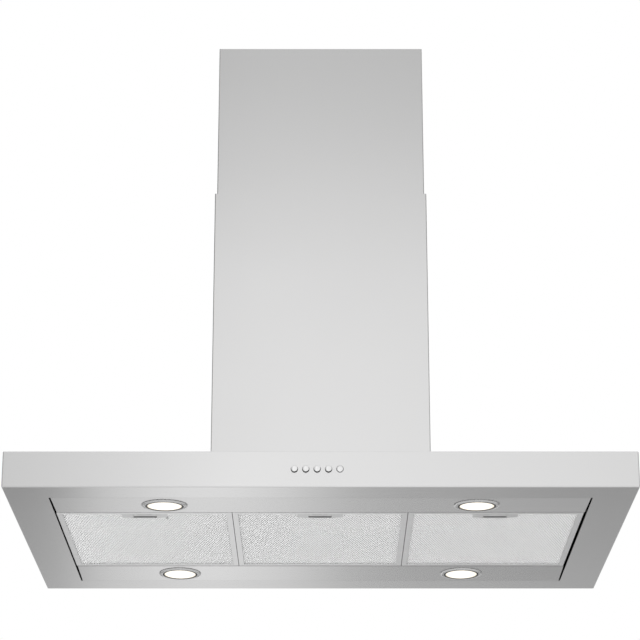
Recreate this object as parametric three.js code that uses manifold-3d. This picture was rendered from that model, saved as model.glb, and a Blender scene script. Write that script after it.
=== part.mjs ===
// A ceiling-hung chimney range hood: a flat steel canopy with three grease filters, four lamps and five push
// buttons, under a telescopic square chimney that hides the hanging frame and the blower.
// Millimetres, +Z up. The front, with the buttons, faces -Y. The origin is the middle of the ceiling plane.
// Heights in this file are measured from the canopy's underside, and the last lines hang the lot from the origin.

import * as THREE from "three";
import { mergeVertices } from "three/addons/utils/BufferGeometryUtils.js";
import Module from "manifold-3d";

const wasm = await Module();
wasm.setup();

// ---------------------------------------------------------------- driving dimensions: common

const SHEET = 1; // stainless sheet of the canopy, lamp panels and chimney
const GAP = 0.3; // between two pieces that touch
const PAST = 5; // how far a cutting tool reaches past what it cuts
const HANG_HEIGHT = 758; // ceiling to underside, as the hood hangs here
const TELESCOPE_TRAVEL = 150; // the hood can be hung this much lower or higher

// ---------------------------------------------------------------- driving dimensions: canopy

const CANOPY_WIDTH = 900;
const CANOPY_DEPTH = 600;
const CANOPY_HEIGHT = 53;
const CORNER_RADIUS = 2; // upright corners, welded and ground
const BEND_RADIUS = 1.5; // folded edges
const SIDE_RIM = 61; // width of the underside's flat rim, left and right
const END_RIM = 55; // and at the front and back
const HEM_WIDTH = 10; // fold that stiffens the side rims' inner edges
const RIM_FLANGE = 12; // height of the front and back rims' upturned flange

// ---------------------------------------------------------------- driving dimensions: lamp panels and filters

const PANEL_RISE = 2.5; // each lamp panel slopes up by this from the rim to the filters
const PANEL_END_GAP = 2.5; // dark slot between a lamp panel and the side rim
const PANEL_FLANGE = 12; // height of the flange that the filters meet
const PANEL_DEPTH = 86.2; // front panel, front to back
const FILTER_NAMES = ["left", "middle", "right"];
const FILTER_HEIGHT = 9;
const FILTER_PLAY = 0.9; // between neighbouring filters
const FILTER_LEFT_GAP = 1.6; // the row of filters sits a little to the left
const FILTER_RIGHT_GAP = 3.4;
const FILTER_FRONT_GAP = 1.5;
const FILTER_REAR_GAP = 2.5;
const FILTER_SHEET = 0.8; // folded aluminium of the frame and the handle tray
const FILTER_LIP = 8; // width of the frame's face
const NET_COLUMNS = 4; // diamonds across a wide row; the rows between have one fewer
const NET_ROWS = 3;
const NET_STRAND = 4; // between two diamonds
const TAB_SPREAD = 180; // between the middles of the two rear tabs
const TAB_WIDTH = 14;
const TAB_LENGTH = 6;
const TAB_THICKNESS = 1.2;
const TAB_HEIGHT = 1.5; // underside of the tabs above the underside of the filter
const TAB_SLOT_HEIGHT = 7.4; // lets the tabs tip up as the filter swings
const TAB_SLOT_PLAY = 2; // beside the tabs
const HANDLE_WIDTH = 66;
const HANDLE_DEPTH = 24; // of the tray, behind the frame's lip
const HANDLE_WINDOW_WIDTH = 34;
const HANDLE_BORDER = 2; // tray face in front of and behind the window
const LATCH_TRAVEL = 5;
const LATCH_FLANGE = 2.5; // the latch is this much wider than its window, each side
const LATCH_PROUD = 1.2; // grip below the tray's face
const BOLT_WIDTH = 14;
const BOLT_HEIGHT = 2.4;

// ---------------------------------------------------------------- driving dimensions: lamps

const LAMP_SPREAD = 452; // between the left and right lamps
const BEZEL_OVERLAP = 4.3; // width of the bezel's face outside its hole
const BEZEL_THICKNESS = 2.2;
const BEZEL_EDGE = 0.5; // height of the bezel's outer edge
const BEZEL_SLEEVE = 8; // height of the sleeve above the panel
const BEZEL_SLEEVE_WALL = 1.3;
const CAN_RADIUS = 27;
const CAN_HEIGHT = 24;
const CAN_LIP = 2; // width of the can's front ring
const GLASS_THICKNESS = 2.4;
const GLASS_DOME = 1.6; // the glass bulges down by this
const BULB_RADIUS = 4.5;
const BULB_LENGTH = 14;
const BULB_BASE_RADIUS = 8;
const BULB_BASE_HEIGHT = 5;

// ---------------------------------------------------------------- driving dimensions: controls

const BUTTON_NAMES = ["fan_off", "speed_1", "speed_2", "speed_3", "light"];
const PRESSED_BUTTON = "light"; // the lamps are on, so this one is latched in
const BUTTON_RADIUS = 5;
const BUTTON_LENGTH = 9; // cap, from its face to its shoulder
const BUTTON_PITCH = 16.1;
const BUTTON_GROUP_X = -5; // the row is a little to the left of the middle
const BUTTON_PROUD = 4;
const BUTTON_TRAVEL = 3;
const BUTTON_PRESSED = 2.2; // how far in the latched button stands
const BUTTON_STEM_RADIUS = 2.5;
const BUTTON_STEM_LENGTH = 10;
const SWITCH_DEPTH = 24;
const SWITCH_HEIGHT = 26;
const SWITCH_END = 12; // switch block beyond its outer buttons

// ---------------------------------------------------------------- driving dimensions: chimney and frames

const CHIMNEY_WIDTH = 325; // square, lower section
const LOWER_CHIMNEY_HEIGHT = 455;
const UPPER_CHIMNEY_HEIGHT = 500;
const TELESCOPE_CLEARANCE = 2.2; // between the two sections, each side
const CHIMNEY_RETURN = 12; // fold along the front section's rear edges
const JOGGLE = 9; // tongue of the rear panel behind that fold
const LEG_WIDTH = 25; // angle-section legs of both frames
const LEG_SHEET = 1.5;
const FRAME_CLEARANCE = 0.5; // between the nested frames
const UPPER_FRAME_END = 24.6; // legs below the bolt when the hood is set highest
const LOWER_FRAME_DROP = 35; // frame below the top of the lower chimney
const BRACE_HEIGHT = 25;
const BRACE_LAP = 5; // brace welded over the edge of a leg
const BASE_RING_WIDTH = 14; // flat ring under the lower frame, screwed to the canopy
const CEILING_PLATE_SHEET = 2;
const CEILING_PLATE_FLANGE = 25;
const CEILING_OPENING = 230; // square opening for the duct and the cables
const CEILING_SLOT_LENGTH = 24;
const CEILING_SLOT_WIDTH = 8;
const FRAME_BOLT_RADIUS = 3;
const FRAME_BOLT_HEAD_RADIUS = 5.5;
const FRAME_BOLT_HEAD_HEIGHT = 4;
const FRAME_NUT_HEIGHT = 2;
const FRAME_BOLT_DROP = 13; // bolts below the top of the lower frame

// ---------------------------------------------------------------- driving dimensions: blower

const BLOWER_BOX_ROOM = 0.9; // between the box's flange and the ring under the lower frame
const BLOWER_BOX_HEIGHT = 230;
const BLOWER_FLANGE = 5;
const INLET_MARGIN = 9; // canopy sheet that shows inside the blower box, round the inlet opening
const IMPELLER_RADIUS = 70;
const IMPELLER_HALF_LENGTH = 50;
const IMPELLER_DISC = 2; // middle plate between the two halves
const IMPELLER_RING_WIDTH = 12.5;
const IMPELLER_RING_HEIGHT = 3;
const BLADE_COUNT = 20;
const BLADE_SWEEP = 8; // degrees that a blade leans forward from root to tip
const BLADE_THICKNESS = 1.2;
const HUB_RADIUS = 10;
const HUB_LENGTH = 14;
const SHAFT_RADIUS = 4;
const TONGUE_CLEARANCE = 6; // between the impeller and the scroll where the scroll starts
const SCROLL_GROWTH = 36; // from its start to its end
const SCROLL_START = 100; // degrees up from +Y, where the tongue is
const SCROLL_SWEEP = 280; // degrees from the tongue round to the straight outlet wall
const SCROLL_STEPS = 20;
const SCROLL_WALL = 2;
const SCROLL_SIDE_ROOM = 4; // between the impeller's ends and the scroll
const SCROLL_INLET_LIP = 14; // the inlet's edge inside the impeller's rim
const SCROLL_REAR_ROOM = 2; // the scroll stands back against the blower box, so that its outlet is under the collar
const SCROLL_OUTLET_BACK = 60; // outlet's rear wall behind the middle
const SCROLL_FLOOR = 12; // scroll's lowest point above the canopy's top
const MOTOR_RADIUS = 42;
const MOTOR_PROUD = 3; // motor's end beyond its arms
const MOTOR_ARMS = 3;
const MOTOR_ARM_WIDTH = 12;
const MOTOR_ARM_LAP = 10; // arm over the scroll's side, outside the inlet
const COLLAR_RADIUS = 75; // duct size 150
const COLLAR_HEIGHT = 60;
const COLLAR_WALL = 1.5;
const COLLAR_FLANGE = 10;
const FLAP_HEIGHT = 22; // flap hinge above the blower box
const FLAP_THICKNESS = 1.5;
const FLAP_CLEARANCE = 2; // between a flap's rim and the collar
const FLAP_PIN_RADIUS = 2;
const KNUCKLE_WALL = 1.5;
const KNUCKLE_LENGTH = 40;
const KNUCKLE_OFFSET = 30; // the flaps' knuckles sit this far left and right of the middle
const TERMINAL_BOX_WIDTH = 55;
const TERMINAL_BOX_DEPTH = 40;
const TERMINAL_BOX_HEIGHT = 28;
const CAPACITOR_RADIUS = 17.5;
const CAPACITOR_HEIGHT = 70;
const CORNER_INSET = 30; // middle of the terminal box and of the capacitor from the blower box's sides
const TRANSFORMER_WIDTH = 70;
const TRANSFORMER_DEPTH = 55;
const TRANSFORMER_HEIGHT = 28;
const TRANSFORMER_INSET = 81; // from the front left lamp towards the middle
const TRANSFORMER_SETBACK = 58; // from the canopy's front

// ---------------------------------------------------------------- smoothness

const LAMP_SIDES = 18;
const BUTTON_SIDES = 12;
const ROUND_SIDES = 32;
const SMALL_SIDES = 12;
const CORNER_STEPS = 2;
const FULL_TURN = 360; // degrees

// ---------------------------------------------------------------- sizes worked out from the ones above

const HALF_WIDTH = CANOPY_WIDTH / 2;
const HALF_DEPTH = CANOPY_DEPTH / 2;
const RIM_INNER_X = HALF_WIDTH - SIDE_RIM;
const RIM_INNER_Y = HALF_DEPTH - END_RIM;

// The filters share what the rims and the lamp panels leave: 256 mm by 314 mm each.
const PANEL_OUTER = RIM_INNER_Y - GAP;
const FRONT_PANEL_INNER = PANEL_OUTER - PANEL_DEPTH;
const FILTER_HALF_DEPTH = FRONT_PANEL_INNER - FILTER_FRONT_GAP;
const REAR_PANEL_INNER = FILTER_HALF_DEPTH + FILTER_REAR_GAP;
const FILTER_ROW = 2 * RIM_INNER_X - FILTER_LEFT_GAP - FILTER_RIGHT_GAP;
const FILTER_PITCH = (FILTER_ROW + FILTER_PLAY) / FILTER_NAMES.length;
const FILTER_HALF_WIDTH = (FILTER_PITCH - FILTER_PLAY) / 2;
const FIRST_FILTER_X = FILTER_LEFT_GAP + FILTER_HALF_WIDTH - RIM_INNER_X;
const FILTER_PLACES = FILTER_NAMES.map((name, i) => [name, FIRST_FILTER_X + i * FILTER_PITCH]);
const TAB_PLACES = [-TAB_SPREAD / 2, TAB_SPREAD / 2];
const TRAY_BOTTOM = FILTER_SHEET + GAP;
const TRAY_TOP = FILTER_HEIGHT - FILTER_SHEET - GAP;
const TRAY_BACK = FILTER_LIP + HANDLE_DEPTH - FILTER_HALF_DEPTH;
const WINDOW_FRONT = FILTER_LIP + HANDLE_BORDER - FILTER_HALF_DEPTH;
const WINDOW_BACK = TRAY_BACK - HANDLE_BORDER;
const BOLT_BOTTOM = TRAY_BOTTOM + FILTER_SHEET + GAP;
const BOLT_TOP = BOLT_BOTTOM + BOLT_HEIGHT;

const BEZEL_BORE = CAN_RADIUS + 2 * GAP;
const SLEEVE_RADIUS = BEZEL_BORE + BEZEL_SLEEVE_WALL;
const LAMP_HOLE_RADIUS = SLEEVE_RADIUS + GAP;
const BEZEL_RADIUS = LAMP_HOLE_RADIUS + BEZEL_OVERLAP;
const CAN_FRONT = 2 * GAP - BEZEL_THICKNESS;
const GLASS_SEAT = CAN_FRONT + SHEET + GAP;

const BUTTON_Z = CANOPY_HEIGHT / 2;
const SWITCH_FRONT = SHEET + GAP - HALF_DEPTH;

const CHIMNEY_HALF = CHIMNEY_WIDTH / 2;
const UPPER_HALF = CHIMNEY_HALF - SHEET - TELESCOPE_CLEARANCE;
const PLATE_HALF = UPPER_HALF - 2 * SHEET - 2 * GAP;
const UPPER_LEG_HALF = PLATE_HALF - CEILING_PLATE_SHEET - GAP;
const LOWER_LEG_HALF = UPPER_LEG_HALF - LEG_SHEET - FRAME_CLEARANCE;
const BASE_RING_HALF = CHIMNEY_HALF - 2 * SHEET - 2 * GAP;
const ABOVE_CANOPY = CANOPY_HEIGHT + GAP;
const LOWER_FRAME_TOP = ABOVE_CANOPY + LOWER_CHIMNEY_HEIGHT - LOWER_FRAME_DROP;
const FRAME_BOLT_Z = LOWER_FRAME_TOP - FRAME_BOLT_DROP;
const UPPER_FRAME_TOP = HANG_HEIGHT - CEILING_PLATE_SHEET - GAP;
const UPPER_FRAME_FLOOR = FRAME_BOLT_Z - TELESCOPE_TRAVEL - UPPER_FRAME_END;

const BOX_HALF = BASE_RING_HALF - BASE_RING_WIDTH - BLOWER_BOX_ROOM - BLOWER_FLANGE;
const BOX_TOP = ABOVE_CANOPY + BLOWER_BOX_HEIGHT;
const ABOVE_BOX = BOX_TOP + GAP;
const SCROLL_START_RADIUS = IMPELLER_RADIUS + TONGUE_CLEARANCE;
const SCROLL_END_RADIUS = SCROLL_START_RADIUS + SCROLL_GROWTH;
const SCROLL_REAR_RADIUS = SCROLL_START_RADIUS + (SCROLL_GROWTH * SCROLL_START) / SCROLL_SWEEP + SCROLL_WALL;
const SCROLL_OFFSET = BOX_HALF - SHEET - SCROLL_REAR_ROOM - SCROLL_REAR_RADIUS; // impeller axis behind the middle
const SCROLL_INLET_RADIUS = IMPELLER_RADIUS - SCROLL_INLET_LIP;
const SCROLL_AXIS_Z = CANOPY_HEIGHT + SCROLL_FLOOR + SCROLL_END_RADIUS;
const SCROLL_TOP = BOX_TOP - SHEET - GAP;
const SCROLL_HALF = IMPELLER_HALF_LENGTH + SCROLL_SIDE_ROOM + SCROLL_WALL;
const MOTOR_START = HUB_LENGTH / 2 + GAP;
const MOTOR_ARM_START = SCROLL_HALF + GAP;
const MOTOR_END = MOTOR_ARM_START + SCROLL_WALL + MOTOR_PROUD;
const COLLAR_BORE = COLLAR_RADIUS - COLLAR_WALL;
const FLAP_Z = ABOVE_BOX + FLAP_HEIGHT;
const KNUCKLE_BORE = FLAP_PIN_RADIUS + GAP;
const KNUCKLE_RADIUS = KNUCKLE_BORE + KNUCKLE_WALL;
const CORNER_PARTS = BOX_HALF - CORNER_INSET;

// ---------------------------------------------------------------- materials

function metal(color, roughness) {
  return new THREE.MeshStandardMaterial({ color, roughness, metalness: 1 });
}

function plastic(color, roughness) {
  return new THREE.MeshStandardMaterial({ color, roughness, metalness: 0 });
}

const brushedSteel = metal(0xc9c9c8, 0.35);
const galvanisedSteel = metal(0xa9adaf, 0.55);
const filterAluminium = metal(0xd6d7d6, 0.45);
const chrome = metal(0xe4e4e4, 0.12);
const darkPlastic = plastic(0x26272a, 0.6);
const palePlastic = plastic(0xd8d8d4, 0.5);
const ceramic = plastic(0xf0eee6, 0.6);
const litGlass = new THREE.MeshStandardMaterial({
  color: 0xfffaf0,
  roughness: 0.5,
  metalness: 0,
  emissive: 0xfff2dc,
});

// ---------------------------------------------------------------- solids from geometry

// A closed three.js geometry as a solid that can be cut and joined, with its faces turned outwards.
function solid(geometry) {
  geometry.deleteAttribute("normal");
  geometry.deleteAttribute("uv");
  const merged = mergeVertices(geometry, 1e-3);
  const index = merged.getIndex().array;
  const corners = [];
  for (let i = 0; i < index.length; i += 3) {
    const [a, b, c] = [index[i], index[i + 1], index[i + 2]];
    if (a !== b && b !== c && c !== a) corners.push(a, b, c);
  }
  const vertProperties = new Float32Array(merged.getAttribute("position").array);
  const build = (order) =>
    new wasm.Manifold(new wasm.Mesh({ numProp: 3, vertProperties, triVerts: new Uint32Array(order) }));
  const made = build(corners);
  return made.volume() > 0 ? made : build(corners.reverse());
}

// The geometry of a finished solid, with flat shading.
function geometryOf(body) {
  const mesh = body.getMesh();
  const places = new Float32Array(mesh.numVert * 3);
  for (let i = 0; i < mesh.numVert; i++) {
    const from = i * mesh.numProp;
    places.set(mesh.vertProperties.subarray(from, from + 3), i * 3);
  }
  const indexed = new THREE.BufferGeometry();
  indexed.setAttribute("position", new THREE.BufferAttribute(places, 3));
  indexed.setIndex(new THREE.BufferAttribute(mesh.triVerts, 1));
  const flat = indexed.toNonIndexed();
  flat.computeVertexNormals();
  return flat;
}

function block([x0, x1], [y0, y1], [z0, z1]) {
  const box = new THREE.BoxGeometry(Math.abs(x1 - x0), Math.abs(y1 - y0), Math.abs(z1 - z0));
  return solid(box.translate((x0 + x1) / 2, (y0 + y1) / 2, (z0 + z1) / 2));
}

// A square block about the Z axis.
function pillar(half, z) {
  return block([-half, half], [-half, half], z);
}

function outline(points) {
  return new THREE.Shape(points.map(([u, v]) => new THREE.Vector2(u, v)));
}

function rectangle(halfU, halfV) {
  return outline([
    [-halfU, -halfV],
    [halfU, -halfV],
    [halfU, halfV],
    [-halfU, halfV],
  ]);
}

function roundedRectangle(halfU, halfV, radius) {
  const shape = new THREE.Shape();
  shape.absarc(halfU - radius, halfV - radius, radius, 0, Math.PI / 2);
  shape.absarc(radius - halfU, halfV - radius, radius, Math.PI / 2, Math.PI);
  shape.absarc(radius - halfU, radius - halfV, radius, Math.PI, 1.5 * Math.PI);
  shape.absarc(halfU - radius, radius - halfV, radius, 1.5 * Math.PI, 2 * Math.PI);
  return shape;
}

function extruded(shape, length, options = {}) {
  return new THREE.ExtrudeGeometry(shape, {
    depth: length,
    bevelEnabled: false,
    curveSegments: CORNER_STEPS,
    ...options,
  });
}

function uprightPrism(shape, [z0, z1]) {
  return solid(extruded(shape, z1 - z0).translate(0, 0, z0));
}

// An outline in Y and Z, drawn out along X.
function prismAlongX(shape, [x0, x1]) {
  const axes = new THREE.Matrix4().makeBasis(
    new THREE.Vector3(0, 1, 0),
    new THREE.Vector3(0, 0, 1),
    new THREE.Vector3(1, 0, 0),
  );
  return solid(extruded(shape, x1 - x0).applyMatrix4(axes).translate(x0, 0, 0));
}

// A profile of [radius, height] points turned about Z. It starts and ends on the axis or closes on itself.
function turned(profile, sides) {
  const closed = profile[0][0] > 0 ? [...profile, profile[0]] : profile;
  const points = closed.map(([radius, height]) => new THREE.Vector2(radius, height));
  return solid(new THREE.LatheGeometry(points, sides).rotateX(Math.PI / 2));
}

function disc(radius, [z0, z1], sides) {
  return turned(
    [
      [0, z0],
      [radius, z0],
      [radius, z1],
      [0, z1],
    ],
    sides,
  );
}

function ring(inner, outer, [z0, z1], sides) {
  return turned(
    [
      [inner, z0],
      [outer, z0],
      [outer, z1],
      [inner, z1],
    ],
    sides,
  );
}

function laidAlongX(body) {
  return body.rotate([0, 90, 0]);
}

// Laid down so that what was up points back.
function laidAlongY(body) {
  return body.rotate([-90, 0, 0]);
}

function joined(bodies) {
  return bodies.reduce((all, next) => all.add(next));
}

function cutBy(body, tools) {
  return tools.reduce((left, tool) => left.subtract(tool), body);
}

// The body and its three copies, each a quarter turn further round the Z axis.
function fourTimes(body) {
  return joined([0, 90, 180, 270].map((turn) => body.rotate([0, 0, turn])));
}

function past([low, high]) {
  return [low - PAST, high + PAST];
}

// ---------------------------------------------------------------- canopy

function buttonX(i) {
  return BUTTON_GROUP_X + (i - (BUTTON_NAMES.length - 1) / 2) * BUTTON_PITCH;
}

function buttonHoles() {
  const hole = laidAlongY(disc(BUTTON_RADIUS + GAP, [-PAST, PAST], BUTTON_SIDES));
  return BUTTON_NAMES.map((name, i) => hole.translate([buttonX(i), -HALF_DEPTH, BUTTON_Z]));
}

// Flat hems on the side rims and upturned flanges on the front and back rims.
function rimFolds() {
  const hemEnd = RIM_INNER_X + HEM_WIDTH;
  return [-1, 1].flatMap((side) => [
    block([side * RIM_INNER_X, side * hemEnd], [-RIM_INNER_Y, RIM_INNER_Y], [SHEET / 2, 2 * SHEET]),
    block([-hemEnd, hemEnd], [side * RIM_INNER_Y, side * (RIM_INNER_Y + SHEET)], [SHEET / 2, RIM_FLANGE]),
  ]);
}

// The canopy is one welded box, open below inside its rim and above under the blower.
function canopyShell() {
  const outside = extruded(
    roundedRectangle(HALF_WIDTH, HALF_DEPTH, CORNER_RADIUS),
    CANOPY_HEIGHT - 2 * BEND_RADIUS,
    {
      bevelEnabled: true,
      bevelThickness: BEND_RADIUS,
      bevelSize: BEND_RADIUS,
      bevelOffset: -BEND_RADIUS,
      bevelSegments: CORNER_STEPS,
    },
  ).translate(0, 0, BEND_RADIUS);
  const inside = block(
    [SHEET - HALF_WIDTH, HALF_WIDTH - SHEET],
    [SHEET - HALF_DEPTH, HALF_DEPTH - SHEET],
    [SHEET, CANOPY_HEIGHT - SHEET],
  );
  const filterOpening = block(
    [-RIM_INNER_X, RIM_INNER_X],
    [-RIM_INNER_Y, RIM_INNER_Y],
    [-PAST, CANOPY_HEIGHT / 2],
  );
  const blowerOpening = pillar(BOX_HALF - INLET_MARGIN, [CANOPY_HEIGHT / 2, CANOPY_HEIGHT + PAST]);
  const shell = joined([solid(outside).subtract(inside), ...rimFolds()]);
  return cutBy(shell, [filterOpening, blowerOpening, ...buttonHoles()]);
}

// ---------------------------------------------------------------- lamp panels

// A folded channel: a flange against the rim, a sloping face and a flange that faces the filters.
// Side is -1 for the front panel and 1 for the rear one.
function lampPanel(side, inner, slots) {
  const profile = [
    [PANEL_OUTER, 0],
    [PANEL_OUTER, RIM_FLANGE],
    [PANEL_OUTER - SHEET, RIM_FLANGE],
    [PANEL_OUTER - SHEET, SHEET],
    [inner + SHEET, PANEL_RISE + SHEET],
    [inner + SHEET, PANEL_RISE + PANEL_FLANGE],
    [inner, PANEL_RISE + PANEL_FLANGE],
    [inner, PANEL_RISE],
  ].map(([distance, z]) => [side * distance, z]);
  const length = RIM_INNER_X - PANEL_END_GAP;
  const channel = prismAlongX(outline(profile), [-length, length]);
  const hole = disc(LAMP_HOLE_RADIUS, past([0, PANEL_RISE + SHEET]), LAMP_SIDES);
  const lampHoles = [-1, 1].map((across) =>
    hole.translate([(across * LAMP_SPREAD) / 2, (side * (PANEL_OUTER + inner)) / 2, 0]),
  );
  return cutBy(channel, [...lampHoles, ...slots]);
}

function frontPanel() {
  const half = BOLT_WIDTH / 2 + GAP;
  const keepers = FILTER_PLACES.map(([, x]) =>
    block(
      [x - half, x + half],
      [-FRONT_PANEL_INNER - 2 * SHEET, -FRONT_PANEL_INNER + SHEET],
      [PANEL_RISE + BOLT_BOTTOM - GAP, PANEL_RISE + BOLT_TOP + GAP],
    ),
  );
  return lampPanel(-1, FRONT_PANEL_INNER, keepers);
}

function rearPanel() {
  const half = TAB_WIDTH / 2 + TAB_SLOT_PLAY;
  const slots = FILTER_PLACES.flatMap(([, x]) =>
    TAB_PLACES.map((tab) =>
      block(
        [x + tab - half, x + tab + half],
        [REAR_PANEL_INNER - SHEET, REAR_PANEL_INNER + 2 * SHEET],
        [PANEL_RISE + TAB_HEIGHT - GAP, PANEL_RISE + TAB_HEIGHT + TAB_SLOT_HEIGHT],
      ),
    ),
  );
  return lampPanel(1, REAR_PANEL_INNER, slots);
}

// ---------------------------------------------------------------- lamps, with Z into the panel

function lampBezel() {
  return turned(
    [
      [BEZEL_BORE, BEZEL_SLEEVE],
      [BEZEL_BORE, -BEZEL_THICKNESS],
      [BEZEL_RADIUS - BEZEL_EDGE, CAN_FRONT],
      [BEZEL_RADIUS, -GAP - BEZEL_EDGE],
      [BEZEL_RADIUS, -GAP],
      [SLEEVE_RADIUS, -GAP],
      [SLEEVE_RADIUS, BEZEL_SLEEVE],
    ],
    LAMP_SIDES,
  );
}

// The can hangs by its shoulder on the bezel's sleeve, and its front ring carries the glass.
function lampCan() {
  const shoulder = BEZEL_SLEEVE + GAP;
  const neck = BULB_RADIUS + GAP;
  return turned(
    [
      [CAN_RADIUS - CAN_LIP, CAN_FRONT],
      [CAN_RADIUS, CAN_FRONT],
      [CAN_RADIUS, shoulder],
      [SLEEVE_RADIUS, shoulder],
      [SLEEVE_RADIUS, shoulder + SHEET],
      [neck + SHEET, CAN_HEIGHT],
      [neck, CAN_HEIGHT],
      [neck, CAN_HEIGHT - SHEET],
      [CAN_RADIUS - SHEET, shoulder],
      [CAN_RADIUS - SHEET, CAN_FRONT + SHEET],
      [CAN_RADIUS - CAN_LIP, CAN_FRONT + SHEET],
    ],
    LAMP_SIDES,
  );
}

function lampGlass() {
  const window = CAN_RADIUS - CAN_LIP - GAP;
  const rim = CAN_RADIUS - SHEET - GAP;
  const edge = GLASS_SEAT - SHEET;
  return turned(
    [
      [0, GLASS_SEAT + GLASS_THICKNESS],
      [rim, GLASS_SEAT + GLASS_THICKNESS],
      [rim, GLASS_SEAT],
      [window, GLASS_SEAT],
      [window, edge],
      [window / 2, edge - 0.75 * GLASS_DOME],
      [0, edge - GLASS_DOME],
    ],
    LAMP_SIDES,
  );
}

// A capsule bulb that plugs in from behind through the neck of the can.
function lampBulb() {
  const seat = CAN_HEIGHT + GAP;
  return turned(
    [
      [0, seat - BULB_LENGTH],
      [BULB_RADIUS, seat - BULB_LENGTH + BULB_RADIUS],
      [BULB_RADIUS, seat],
      [BULB_BASE_RADIUS, seat],
      [BULB_BASE_RADIUS, seat + BULB_BASE_HEIGHT],
      [0, seat + BULB_BASE_HEIGHT],
    ],
    SMALL_SIDES,
  );
}

// ---------------------------------------------------------------- filters, with Z up from their underside

function boltHole(y) {
  const half = BOLT_WIDTH / 2 + GAP;
  return block([-half, half], past([y, y]), [BOLT_BOTTOM - GAP, BOLT_TOP + GAP]);
}

// A channel of folded sheet all round, with two tabs that hook into the rear lamp panel.
function filterFrame() {
  const outside = uprightPrism(rectangle(FILTER_HALF_WIDTH, FILTER_HALF_DEPTH), [0, FILTER_HEIGHT]);
  const channel = uprightPrism(
    rectangle(FILTER_HALF_WIDTH - FILTER_SHEET, FILTER_HALF_DEPTH - FILTER_SHEET),
    [FILTER_SHEET, FILTER_HEIGHT - FILTER_SHEET],
  );
  const window = uprightPrism(
    rectangle(FILTER_HALF_WIDTH - FILTER_LIP, FILTER_HALF_DEPTH - FILTER_LIP),
    past([0, FILTER_HEIGHT]),
  );
  const tabs = TAB_PLACES.map((x) =>
    block(
      [x - TAB_WIDTH / 2, x + TAB_WIDTH / 2],
      [FILTER_HALF_DEPTH - FILTER_SHEET / 2, FILTER_HALF_DEPTH + TAB_LENGTH],
      [TAB_HEIGHT, TAB_HEIGHT + TAB_THICKNESS],
    ),
  );
  const frame = cutBy(outside, [channel, window, boltHole(-FILTER_HALF_DEPTH)]);
  return joined([frame, ...tabs]);
}

// The grease net, drawn as one layer of wide diamonds, with room left for the handle tray.
function filterNet() {
  const halfX = FILTER_HALF_WIDTH - FILTER_LIP;
  const halfY = FILTER_HALF_DEPTH - FILTER_LIP;
  const pitchX = (2 * halfX) / NET_COLUMNS;
  const pitchY = (2 * halfY) / NET_ROWS;
  const reachX = pitchX / 2 - NET_STRAND;
  const reachY = (reachX * pitchY) / pitchX;
  const edge = FILTER_SHEET + GAP;
  const net = rectangle(FILTER_HALF_WIDTH - edge, FILTER_HALF_DEPTH - edge);
  for (const shift of [0, 1]) {
    for (let row = 0; row < NET_ROWS - shift; row++) {
      for (let column = 0; column < NET_COLUMNS - shift; column++) {
        const x = (column + (1 + shift) / 2) * pitchX - halfX;
        const y = (row + (1 + shift) / 2) * pitchY - halfY;
        const underTray = Math.abs(x) < HANDLE_WIDTH / 2 && y - reachY < TRAY_BACK;
        if (underTray) continue;
        const diamond = [
          [x - reachX, y],
          [x, y - reachY],
          [x + reachX, y],
          [x, y + reachY],
        ];
        net.holes.push(outline(diamond));
      }
    }
  }
  const room = block(
    [-HANDLE_WIDTH / 2 - GAP, HANDLE_WIDTH / 2 + GAP],
    [-FILTER_HALF_DEPTH, TRAY_BACK + GAP],
    past([0, FILTER_HEIGHT]),
  );
  return uprightPrism(net, [TRAY_BOTTOM, TRAY_TOP]).subtract(room);
}

// A shallow box behind the frame's lip, with a window in its face for the latch.
function handleTray() {
  const front = FILTER_SHEET + GAP - FILTER_HALF_DEPTH;
  const half = HANDLE_WIDTH / 2;
  const outside = block([-half, half], [front, TRAY_BACK], [TRAY_BOTTOM, TRAY_TOP]);
  const inside = block(
    [FILTER_SHEET - half, half - FILTER_SHEET],
    [front + FILTER_SHEET, TRAY_BACK - FILTER_SHEET],
    [TRAY_BOTTOM + FILTER_SHEET, TRAY_TOP - FILTER_SHEET],
  );
  const window = block(
    [-HANDLE_WINDOW_WIDTH / 2, HANDLE_WINDOW_WIDTH / 2],
    [WINDOW_FRONT, WINDOW_BACK],
    [0, BOLT_BOTTOM],
  );
  return cutBy(outside, [inside, window, boltHole(front)]);
}

// A grip in the tray's window, a plate that keeps it there and the bolt that it draws back.
function filterLatch() {
  const gripHalf = HANDLE_WINDOW_WIDTH / 2 - GAP;
  const plateHalf = HANDLE_WINDOW_WIDTH / 2 + LATCH_FLANGE;
  const gripFront = WINDOW_FRONT + GAP;
  const gripBack = WINDOW_BACK - GAP - LATCH_TRAVEL;
  const plate = [BOLT_BOTTOM, BOLT_BOTTOM + FILTER_SHEET];
  const tip = GAP - FRONT_PANEL_INNER;
  return joined([
    block([-gripHalf, gripHalf], [gripFront, gripBack], [TRAY_BOTTOM - LATCH_PROUD, plate[1]]),
    block([-plateHalf, plateHalf], [gripFront - LATCH_FLANGE, gripBack], plate),
    block([-BOLT_WIDTH / 2, BOLT_WIDTH / 2], [tip, gripBack - LATCH_FLANGE], [BOLT_BOTTOM, BOLT_TOP]),
  ]);
}

// ---------------------------------------------------------------- controls, with Z into the fascia

function pushButton() {
  return turned(
    [
      [0, -BUTTON_PROUD],
      [BUTTON_RADIUS - GAP, -BUTTON_PROUD],
      [BUTTON_RADIUS, GAP - BUTTON_PROUD],
      [BUTTON_RADIUS, BUTTON_LENGTH - BUTTON_PROUD],
      [BUTTON_STEM_RADIUS, BUTTON_LENGTH - BUTTON_PROUD],
      [BUTTON_STEM_RADIUS, BUTTON_LENGTH + BUTTON_STEM_LENGTH - BUTTON_PROUD],
      [0, BUTTON_LENGTH + BUTTON_STEM_LENGTH - BUTTON_PROUD],
    ],
    BUTTON_SIDES,
  );
}

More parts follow.
